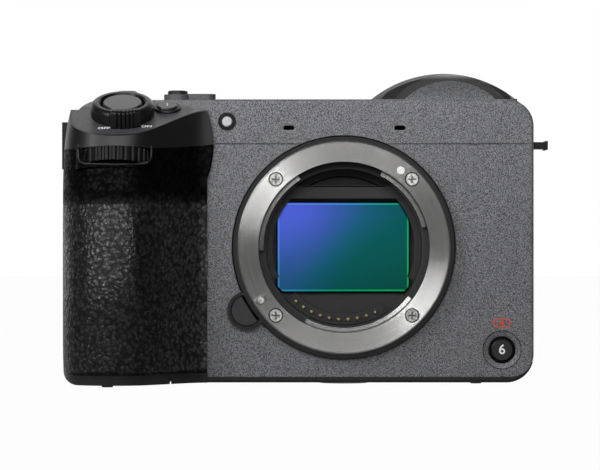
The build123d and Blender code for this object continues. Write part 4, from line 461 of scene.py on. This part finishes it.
def recordCap(name, cap):  # black cap with a red centre on its top
    made = Finish(name, specular=cap["specular"])
    at = made.place()
    radius = distance(made.part(at, "X") - cap["x"], made.part(at, "Y") - cap["y"])
    spark = made.noise(at, cap["spark"], rough=0.6)
    onTop = made.part(at, "Z") > cap["level"]
    red = made.fade(radius, cap["radius"], cap["radius"] * cap["radiusShare"]) * onTop
    rim = made.blend(spark, cap["rimDark"], cap["rimLight"])
    centre = made.blend(spark, cap["redDark"], cap["redLight"])
    return made.drive(baseColour=made.blend(red, rim, centre), roughness=cap["roughness"] + spark * 0.1,
                      normal=made.bump(spark, cap["depth"], cap["relief"]))


boardSettings = {
    "track": 0.002, "jitter": 0.2, "trackEdges": (0.3, 0.45), "patch": 0.004, "roughness": 0.35,
    "copper": (0.10, 0.16, 0.05), "mask": (0.012, 0.07, 0.03), "depth": 0.00003, "relief": 0.4,
}


def circuitBoard(name, board):
    made = Finish(name)
    at = made.place()
    track = made.cells(at, board["track"], board["jitter"])
    patch = made.noise(at, board["patch"])
    colour = made.blend(made.smooth(track, *board["trackEdges"]), board["copper"], board["mask"])
    return made.drive(baseColour=colour, roughness=board["roughness"] + patch * 0.2,
                      normal=made.bump(track, board["depth"], board["relief"]))


inkSettings = {
    "speck": 0.00012, "speckEdges": (0.3, 0.8), "wornMost": 0.25, "wornShade": 0.7, "roughness": 0.5,
}


def printedInk(name, colour):
    made = Finish(name, roughness=inkSettings["roughness"])
    speck = made.noise(made.place(), inkSettings["speck"])
    worn = made.smooth(speck, *inkSettings["speckEdges"], 0, inkSettings["wornMost"])
    shaded = [share * inkSettings["wornShade"] for share in colour]
    return made.drive(baseColour=made.blend(worn, colour, shaded))


finishes = {  # by the record's material slots
    "grey_paint": greyPaint("greyPaint", greySettings),
    "black_plastic": satinPlastic("satinBlack"),
    "grip_rubber": grainedRubber("gripLeather", leatherSettings),
    "cast_alloy": plainMetal("castAlloy", castSettings),
    "mount_steel": turnedSteel("turnedSteel", steelSettings),
    "screw_steel": plainMetal("screwSteel", screwSettings),
    "throat_black": satinPlastic("throatBlack", throatChanges),
    "gold": plainMetal("goldPlate", goldSettings),
    "grey_plastic": satinPlastic("darkGrey", darkGreyChanges),
    "blade_black": satinPlastic("bladeBlack", throatChanges),
    "sensor": coatedSensor("sensorCoating", sensorSettings),
    "board_green": circuitBoard("circuitBoard", boardSettings),
    "battery_black": satinPlastic("batteryCase"),
    "black_metal": satinPlastic("blackMetal", {"metallic": 0.4, "roughness": 0.36}),
    "button_black": satinPlastic("buttonBlack", buttonChanges),
    "record_red": recordCap("recordCap", capSettings),
    "lamp_clear": lampLens("lampLens", lampSettings),
    "screen_glass": darkGlass("screenGlass", screenChanges),
    "cup_rubber": satinPlastic("cupRubber", {**smoothGripChanges, "roughness": 0.6}),
    "eye_glass": darkGlass("eyeGlass", eyeChanges),
}
smoothGrip = satinPlastic("smoothGrip", smoothGripChanges)
mountScrew = screwHead("mountScrew", screwHeadSettings)
ownFinish = {  # nodes that look unlike the rest of their slot
    "grip_frame": smoothGrip, "mount_screws": mountScrew, "lens_lock_pin": mountScrew,
    "mode_lever": satinPlastic("leverGrey", leverChanges),
    "front_dial": satinPlastic("dialBlack", dialChanges),
    "mount_bezel": satinPlastic("bezelBlack", bezelChanges),
}
deepBlack = satinPlastic("deepBlack", deepBlackChanges)
whiteInk = printedInk("whiteInk", (0.95, 0.95, 0.95))
redInk = printedInk("redInk", (0.70, 0.062, 0.014))

slotOf = {entry["node"]: entry["material_slot"] for entry in frame["record"]["subparts"]}
for name, piece in nodes.items():
    finish = ownFinish.get(name, finishes[slotOf[name]])
    if not piece.material_slots:
        piece.data.materials.append(finish.material)
    for slot in piece.material_slots:
        slot.material = finish.material
print("finishes made:", len(bpy.data.materials))


def newPiece(name, shape, finish, body, sharp=30):
    verts, faces = shape
    mesh = bpy.data.meshes.new(name)
    mesh.from_pydata(verts, [], faces)
    mesh.update()
    piece = bpy.data.objects.new(name, mesh)
    bpy.context.scene.collection.objects.link(piece)
    mesh.materials.append(finish.material)
    for polygon in mesh.polygons:
        polygon.use_smooth = True
    mesh.set_sharp_from_angle(angle=radians(sharp))
    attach(piece, body)
    return piece


letterLook = {"sizeShare": 1.42, "offsetShare": 0.02}  # of a letter's height


def words(name, text, where, height, body):  # white letters, with their height in millimetres
    curve = bpy.data.curves.new(name, "FONT")
    curve.body = text
    curve.size = height * mm * letterLook["sizeShare"]
    curve.align_x = "CENTER"
    curve.align_y = "CENTER"
    curve.extrude = inkProud * mm
    curve.offset = height * mm * letterLook["offsetShare"]
    curve.materials.append(whiteInk.material)
    piece = bpy.data.objects.new(name, curve)
    bpy.context.scene.collection.objects.link(piece)
    piece.matrix_world = where
    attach(piece, body)


def basis(origin, normal, right):  # maps local x, y, z to right, up, out at a place in millimetres
    out = Vector(normal).normalized()
    side = Vector(right).normalized()
    up = out.cross(side)
    rows = [(side[axis], up[axis], out[axis], origin[axis] * mm) for axis in range(3)]
    return Matrix((*rows, (0, 0, 0, 1)))


def facing(x, y, z):  # frame on a front face, in millimetres
    return basis((x, y, z), (0, -1, 0), (1, 0, 0))


def behind(node, x, z):  # frame on the rear face of a node, seen from behind, in millimetres
    return basis((x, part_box(node)[1][1] / mm, z), (0, 1, 0), (-1, 0, 0))


def middleOf(node):  # middle of a node's box, in millimetres
    return [(low + high) / 2 / mm for low, high in zip(*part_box(node))]


def spotOn(where, x, y, height):  # a place in metres, from millimetres in a local frame
    return where @ Vector((x * mm, y * mm, height * mm))


def treeOf(node):  # the surface of a node, for rays
    piece = nodes[node]
    corners = [piece.matrix_world @ corner.co for corner in piece.data.vertices]
    return BVHTree.FromPolygons(corners, [polygon.vertices[:] for polygon in piece.data.polygons])


def firstHit(trees, start, heading):  # nearest place that a ray meets, from millimetres, in metres
    hits = [tree.ray_cast(Vector(start) * mm, Vector(heading)) for tree in trees]
    hits = [(far, landed) for landed, _, _, far in hits if landed is not None]
    return min(hits, key=lambda hit: hit[0])[1] if hits else None


def lathe(profile, steps, where):  # (radius, height) pairs in millimetres, turned about local z
    verts, faces = [], []
    for radius, height in profile:
        for step in range(steps):
            turn = 2 * pi * step / steps
            verts.append(spotOn(where, radius * cos(turn), radius * sin(turn), height))
    for ring in range(len(profile) - 1):
        for step in range(steps):
            following = (step + 1) % steps
            a, b = ring * steps + step, ring * steps + following
            faces.append((a, b, b + steps, a + steps))
    return verts, faces


def bandOf(sections):  # closed tube through closed sections, round a full turn
    count, corners = len(sections), len(sections[0])
    verts = [point for section in sections for point in section]
    faces = []
    for ring in range(count):
        here, after = ring * corners, (ring + 1) % count * corners
        for step in range(corners):
            beside = (step + 1) % corners
            faces.append((here + step, after + step, after + beside, here + beside))
    return verts, faces


def tubeAlong(points, radius, sides):  # open tube through points in metres, with its radius in millimetres
    verts, faces = [], []
    for index, point in enumerate(points):
        ahead = points[min(index + 1, len(points) - 1)] - points[max(index - 1, 0)]
        turned = ahead.normalized().to_track_quat("Z", "Y").to_matrix()
        for side in range(sides):
            turn = 2 * pi * side / sides
            verts.append(point + turned @ Vector((radius * mm * cos(turn), radius * mm * sin(turn), 0)))
    for index in range(len(points) - 1):
        base = index * sides
        for side in range(sides):
            after = (side + 1) % sides
            faces.append((base + side, base + after, base + sides + after, base + sides + side))
    return verts, faces


signSunk = 0.05  # how far a flat sign reaches into its face, in millimetres


def flatSign(outlines, where, proud=inkProud):  # prisms on a face, from outlines in millimetres
    verts, faces = [], []
    for outline in outlines:
        first, count = len(verts), len(outline)
        for height in (-signSunk, proud):
            verts += [spotOn(where, x, y, height) for x, y in outline]
        for step in range(count):
            after = (step + 1) % count
            faces.append((first + step, first + after, first + count + after, first + count + step))
        faces.append(tuple(range(first + count, first + 2 * count)))
    return verts, faces


indexDot = {
    "circle": 26.05, "angle": 53.6, "y": -13.94, "steps": 32,
    "profile": [(1.08, -0.1), (1.08, 0), (0.756, 0.03), (closed, 0.04)],
}
dotTurn = radians(indexDot["angle"])
dotX, dotZ = indexDot["circle"] * cos(dotTurn), lensZ / mm + indexDot["circle"] * sin(dotTurn)
dotPlace = facing(dotX, indexDot["y"], dotZ)
newPiece("indexDot", lathe(indexDot["profile"], indexDot["steps"], dotPlace), whiteInk, "body")

recordLook = {
    "digit": 2.6, "coverY": -10.0, "signZ": 16.7, "half": 2.5, "radius": 1.15, "stroke": 0.3, "steps": 12,
    "dot": [(0.62, 0), (0.6014, inkProud), (closed, inkProud)], "dotSteps": 32, "ringSteps": 64,
    "gap": [(3.72, -0.5), (3.72, -0.42), (2.9, -0.42), (2.9, -0.5)],
    "line": [(5.12, -0.02), (5.14, 0.015), (5.3, 0.015), (5.32, -0.02)],
    "capRim": [(2.84, 0.1), (2.84, 0.24), (2.72, 0.32), (2.58, 0.3), (2.5, 0.205)],
}
recordX, _, recordZ = middleOf("front_record_button")
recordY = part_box("front_record_button")[0][1] / mm
words("recordDigit", "6", facing(recordX, recordY - inkProud, recordZ), recordLook["digit"],
      "front_record_cap")


def pillOutline(look, grow):  # two half circles with straight sides between them
    points = []
    radius = look["radius"] + grow
    for side in (1, -1):
        for step in range(look["steps"] + 1):
            turn = pi * (step / look["steps"] - 0.5)
            across = look["half"] - look["radius"] + radius * cos(turn)
            points.append((side * across, side * radius * sin(turn)))
    return points


signPlace = facing(recordX, recordLook["coverY"], recordLook["signZ"])
seatPlace = facing(recordX, recordLook["coverY"], recordZ)
strokes = []
for outer, inner in zip(pillOutline(recordLook, 0), pillOutline(recordLook, -recordLook["stroke"])):
    corners = ((*outer, 0), (*outer, inkProud), (*inner, inkProud), (*inner, 0))
    strokes.append([spotOn(signPlace, *corner) for corner in corners])
newPiece("recordSign", bandOf(strokes), redInk, "body")
newPiece("recordDot", lathe(recordLook["dot"], recordLook["dotSteps"], signPlace),
         redInk, "body")
# painted shade: a near-black ring fills the gap round the record cap, and a thin near-black ring on the dish
# edge is painted shadow
for name, profile in (("recordGap", "gap"), ("recordLine", "line")):
    ring = lathe(recordLook[profile], recordLook["ringSteps"], seatPlace)
    newPiece(name, ring, deepBlack, "body")
newPiece("recordRim", lathe(recordLook["capRim"], recordLook["ringSteps"], seatPlace),
         finishes["button_black"], "front_record_cap")

seamLook = {"radius": 0.14, "steps": 40, "sides": 8, "sharp": 60, "ahead": -30}
throatSeams = {
    "archSeam": {"left": -9.6, "right": 9.6, "z": 54.2, "rise": 2.6},
    "ledgeSeam": {"left": -11.2, "right": 11.4, "z": 54.0, "rise": 0.0},
}
throatTrees = [treeOf(node) for node in ("mount_box", "shutter_frame", "chassis", "contact_block")]
for name, seam in throatSeams.items():
    seamPath = []
    for step in range(seamLook["steps"] + 1):
        share = step / seamLook["steps"]
        x = seam["left"] * (1 - share) + seam["right"] * share
        z = seam["z"] + seam["rise"] * (1 - (2 * share - 1) ** 2)
        landed = firstHit(throatTrees, (x, seamLook["ahead"], z), (0, 1, 0))
        if landed is not None:
            seamPath.append(landed)
    newPiece(name, tubeAlong(seamPath, seamLook["radius"], seamLook["sides"]), deepBlack,
             "body", seamLook["sharp"])
print("front marks made")

plateau = {"lean": radians(25), "ridgeY": -25.2, "ridgeZ": 67.9}


def onPlateau(x, y, proud=0.0):  # frame on the sloped control plateau, in millimetres
    lean = plateau["lean"]
    level = plateau["ridgeZ"] + (y - plateau["ridgeY"]) * tan(lean)
    return basis((x, y - proud * sin(lean), level + proud * cos(lean)), (0, -sin(lean), cos(lean)), (1, 0, 0))


switchLook = {
    "x": -60.2, "y": -13.6, "bore": 6.02, "radius": 8.6, "lift": 0.25, "high": 4.0, "chamfer": 0.5,
    "shoulder": 1.5, "shoulderLess": 0.5, "steps": 6, "lip": 7.0, "lipMore": 0.6, "lipRib": 0.3,
    "dish": 6.8, "dishMore": 0.2, "dishRise": 0.1, "floor": 6.45, "sharp": 40,
    "leverTurn": -82.5, "leverHalf": 24, "leverFade": 6, "reach": 1.25, "rise": 0.9,
    "ribs": 5, "ribSpan": 33, "ribDeep": 0.5, "ribPower": 1.5,
    "fineTurns": (-120, -48, 0.5), "wideTurns": (-48, 240, 3),  # start, end and step in degrees
}


def ease(value):  # smooth step from 0 to 1
    value = min(max(value, 0), 1)
    return value * value * (3 - 2 * value)


def switchSection(turn, look):  # section of the ring at a turn, wider and ribbed at its lever
    off = turn - look["leverTurn"]
    lever = ease((look["leverHalf"] + look["leverFade"] - abs(off)) / look["leverFade"])
    wave = cos(2 * pi * look["ribs"] * off / look["ribSpan"])
    groove = lever * max(0, wave) ** look["ribPower"] if abs(off) < look["ribSpan"] / 2 else 0
    radius = look["radius"] + look["reach"] * lever - look["ribDeep"] * groove
    high = look["high"] + look["rise"] * lever
    shoulder = look["shoulder"] - look["shoulderLess"] * lever
    points = [(look["bore"], look["lift"]), (radius, look["lift"])]
    for step in range(look["steps"] + 1):
        bend = pi / 2 * step / look["steps"]
        points.append((radius - shoulder + shoulder * cos(bend), high - shoulder + shoulder * sin(bend)))
    points.append((look["lip"] + look["lipMore"] * lever - look["lipRib"] * groove, high))
    points.append((look["dish"] + look["dishMore"] * lever, look["high"] + look["dishRise"] * lever))
    points.append((look["floor"], look["high"]))
    points.append((look["bore"], look["high"] - look["chamfer"]))
    place = onPlateau(look["x"], look["y"])
    across, along = cos(radians(turn)), sin(radians(turn))
    return [spotOn(place, radius * across, radius * along, height) for radius, height in points]


turns = []
for start, end, step in (switchLook["fineTurns"], switchLook["wideTurns"]):
    turns += [start + step * index for index in range(round((end - start) / step))]
switchRing = newPiece("switchRing", bandOf([switchSection(turn, switchLook) for turn in turns]),
                      finishes["black_metal"], "power_switch_ring", switchLook["sharp"])
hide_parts("power_switch")

customLook = {
    "x": -48.2, "y": -9.5, "proud": 1.23, "digit": 1.7, "steps": 64,
    "rim": [(3.64, 0.02), (3.66, 0.45), (3.5, 0.68), (3.2, 0.68), (2.98, 0.45), (2.96, 0.1)],
}
switchWords = {"height": 1.35, "switchOff": ("OFF", -64.9, -21.8), "switchOn": ("ON", -53.4, -20.6)}
customSeat = onPlateau(customLook["x"], customLook["y"])
newPiece("customRim", lathe(customLook["rim"], customLook["steps"], customSeat),
         finishes["black_metal"], "body")
customTop = onPlateau(customLook["x"], customLook["y"], customLook["proud"])
words("customDigit", "1", customTop, customLook["digit"], "custom_cap_1")
for name in ("switchOff", "switchOn"):
    text, x, y = switchWords[name]
    words(name, text, onPlateau(x, y, inkProud), switchWords["height"], "body")
print("control plateau made")

wheelMark = {"circle": 8.5, "radius": 0.55, "turns": (0, pi / 2, pi, -pi / 2), "corners": (0, 2.2, -2.2)}
menuBar = {"half": 1.1, "high": 0.32, "feet": (-0.96, -0.16, 0.64)}


def wheelTriangle(turn):  # points outward at the wheel's rim
    middleX, middleY = wheelMark["circle"] * cos(turn), wheelMark["circle"] * sin(turn)
    radius = wheelMark["radius"]
    return [(middleX + radius * cos(turn + corner), middleY + radius * sin(turn + corner))
            for corner in wheelMark["corners"]]


def barOutline(foot):
    half, top = menuBar["half"], foot + menuBar["high"]
    return [(-half, foot), (half, foot), (half, top), (-half, top)]


rearSigns = {
    "playbackSign": {"node": "playback_button", "body": "playback_cap", "at": (-38.0, 13.5),
                     "outlines": [[(-0.75, -1.0), (1.05, 0), (-0.75, 1.0)]]},
    "menuSign": {"node": "menu_button", "body": "menu_cap", "at": (-57.0, 13.5),
                 "outlines": [barOutline(foot) for foot in menuBar["feet"]]},
    "wheelSigns": {"node": "control_wheel", "body": "rear_ring", "at": (-47.5, 32.5),
                   "outlines": [wheelTriangle(turn) for turn in wheelMark["turns"]]},
}
for name, sign in rearSigns.items():
    where = behind(sign["node"], *sign["at"])
    newPiece(name, flatSign(sign["outlines"], where), whiteInk, sign["body"])

focusLook = {
    "at": (-47.5, 60.0), "steps": 40,
    "ring": [(1.25, -signSunk), (1.25, inkProud), (0.9, inkProud), (0.9, -signSunk)],
}
newPiece("focusSign", lathe(focusLook["ring"], focusLook["steps"], behind("focus_button", *focusLook["at"])),
         whiteInk, "focus_cap")
rearCustom = {"digit": 2.2}
capX, capY, _ = middleOf("custom_button_2")
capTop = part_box("custom_button_2")[1][2] / mm + inkProud
words("customDigit2", "2", basis((capX, capY, capTop), (0, 0, 1), (-1, 0, 0)), rearCustom["digit"],
      "custom_cap_2")

screenPane = {"lowX": 3.4, "highX": 2.4, "lowZ": 4.4, "highZ": 2.9, "proud": 0.02}  # insets from the glass
glassLow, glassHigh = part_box("monitor_glass")
paneLow, paneHigh = glassLow[2] / mm + screenPane["lowZ"], glassHigh[2] / mm - screenPane["highZ"]
paneNear, paneFar = -glassLow[0] / mm - screenPane["lowX"], -glassHigh[0] / mm + screenPane["highX"]
paneOutline = [(paneNear, paneHigh), (paneFar, paneHigh), (paneFar, paneLow), (paneNear, paneLow)]
newPiece("screenPane", flatSign([paneOutline], behind("monitor_glass", 0, 0), screenPane["proud"]),
         darkGlass("screenPane", paneChanges), "monitor")

baseScrews = {
    "spots": [(-33, 30), (-33, -5), (-14, 24), (14, 24), (40, 30), (40, -5)], "below": -20, "steps": 32,
    "profile": [(1.3, -0.1), (1.3, 0.02), (1.04, 0.08), (0.585, 0.09), (0.546, -0.03), (closed, -0.03)],
}
plateTree = treeOf("bottom_plate")
screwVerts, screwFaces = [], []
for x, y in baseScrews["spots"]:
    landed = firstHit([plateTree], (x, y, baseScrews["below"]), (0, 0, 1))
    where = basis((x, y, landed.z / mm), (0, 0, -1), (1, 0, 0))
    verts, faces = lathe(baseScrews["profile"], baseScrews["steps"], where)
    screwFaces += [tuple(corner + len(screwVerts) for corner in face) for face in faces]
    screwVerts += verts
newPiece("baseScrews", (screwVerts, screwFaces), finishes["black_metal"], "body")
print("rear and base details made")

lipLook = {  # raised lip along the edge of the front dial's window
    "corners": [(-71.6, 65.0), (-71.5, 61.6), (-71.0, 60.4), (-69.8, 59.9), (-66.0, 59.7), (-61.8, 59.6),
                (-57.6, 59.7), (-53.6, 59.9), (-52.5, 60.4), (-52.0, 61.6), (-51.9, 65.0)],
    "radius": 0.34, "sides": 10, "fill": 8, "ahead": -60, "sharp": 60,
}
gripTrees = [treeOf("grip_frame"), treeOf("grip_rubber")]
lipPath = []
for (startX, startZ), (endX, endZ) in zip(lipLook["corners"], lipLook["corners"][1:]):
    for step in range(lipLook["fill"]):
        share = step / lipLook["fill"]
        x, z = startX * (1 - share) + endX * share, startZ * (1 - share) + endZ * share
        landed = firstHit(gripTrees, (x, lipLook["ahead"], z), (0, 1, 0))
        lipPath.append(landed if landed is not None else Vector((x * mm, lipPath[-1].y, z * mm)))
newPiece("dialLip", tubeAlong(lipPath, lipLook["radius"], lipLook["sides"]), smoothGrip,
         "body", lipLook["sharp"])
print("dial lip made")

white = (1, 1, 1, 1)
stageLook = {"reach": 2.5, "shown": 0.975, "mirrored": 0.12}
paperLook = {"roughness": 0.9, "specular": 0.1, "baseColour": (0.45, 0.45, 0.45, 1)}
floorMesh = bpy.data.meshes.new("floor")
reach = stageLook["reach"]
floorMesh.from_pydata([(-reach, -reach, 0), (reach, -reach, 0), (reach, reach, 0), (-reach, reach, 0)], [],
                      [(0, 1, 2, 3)])
floor = bpy.data.objects.new("floor", floorMesh)
bpy.context.scene.collection.objects.link(floor)
paper = Finish("paleFloor", **paperLook)
mirrorRays = paper.ray("Is Glossy Ray") + paper.ray("Is Transmission Ray")
seen = (paper.ray("Is Camera Ray") * stageLook["shown"]).maths("MAXIMUM", mirrorRays * stageLook["mirrored"])
glow = paper.node("ShaderNodeEmission", values={"Color": white})
matt = Field(paper, paper.shader.outputs[0])
paper.feed(paper.tree.nodes["Material Output"].inputs[0],
           paper.node("ShaderNodeMixShader", values={0: seen, 1: matt, 2: glow}))
floorMesh.materials.append(paper.material)

studio = {"fill": 0.08, "front": 0.05, "turn": (0.3, 0.98)}  # mirrors see a dark room in front, white behind
world = bpy.data.worlds.new("softStudio")
bpy.context.scene.world = world
world.use_nodes = True
background = world.node_tree.nodes["Background"]
background.inputs["Color"].default_value = white
sky = NodeMaker(world.node_tree)
direction = sky.node("ShaderNodeTexCoord", out="Generated")
mirrored = sky.smooth(sky.part(direction, "Y"), *studio["turn"], studio["front"], 1.0)
shiny = sky.ray("Is Glossy Ray").maths("MAXIMUM", sky.ray("Is Transmission Ray"))
lit = sky.node("ShaderNodeMix", {"data_type": "FLOAT"}, {0: shiny, 2: studio["fill"], 3: mirrored})
strength = sky.node("ShaderNodeMix", {"data_type": "FLOAT"}, {0: sky.ray("Is Camera Ray"), 2: lit, 3: 1.0})
sky.feed(background.inputs["Strength"], strength)

lamps = {
    "topSoft": {"at": (-0.02, -0.30, 0.20), "aim": (-0.01, 0, 0.11), "size": (0.34, 0.10),
                "power": 0.17, "spread": 80},
    "leftSoft": {"at": (-0.48, -0.42, 0.36), "aim": (0, 0, 0.04), "size": (0.14, 0.46),
                 "power": 2.15, "spread": 180},
    "backSoft": {"at": (0.0, 0.45, 0.42), "aim": (0, 0, 0.05), "size": (0.5, 0.3),
                 "power": 0.5, "spread": 180},
    "frontCard": {"at": (-0.012, -1.30, 0.12), "aim": (-0.012, 0, 0.04), "size": (0.9, 0.9),
                  "power": 0.8, "spread": 180},
    "cameraCard": {"at": (-0.012, -1.25, 0.042), "aim": (-0.012, 0, 0.04), "size": (0.24, 0.24),
                   "power": 0.15, "spread": 180},
}
for name, lamp in lamps.items():
    data = bpy.data.lights.new(name, "AREA")
    data.shape = "RECTANGLE"
    data.size, data.size_y = lamp["size"]
    data.energy = lamp["power"]
    data.spread = radians(lamp["spread"])
    light = bpy.data.objects.new(name, data)
    bpy.context.scene.collection.objects.link(light)
    light.visible_camera = False
    light.location = lamp["at"]
    light.rotation_euler = (Vector(lamp["aim"]) - Vector(lamp["at"])).to_track_quat("-Z", "Y").to_euler()

view = {"at": (-0.01196, -0.964, 0.04071), "lens": 209.6, "sensor": 36, "near": 0.01}
cameraData = bpy.data.cameras.new("photoCamera")
cameraData.sensor_width = view["sensor"]
cameraData.lens = view["lens"]
cameraData.clip_start = view["near"]
camera = bpy.data.objects.new("photoCamera", cameraData)
bpy.context.scene.collection.objects.link(camera)
camera.location = view["at"]
camera.rotation_euler = (radians(90), 0, 0)
bpy.context.scene.camera = camera
bpy.context.scene.view_settings.view_transform = "Standard"
print("stage, lamps and camera set")
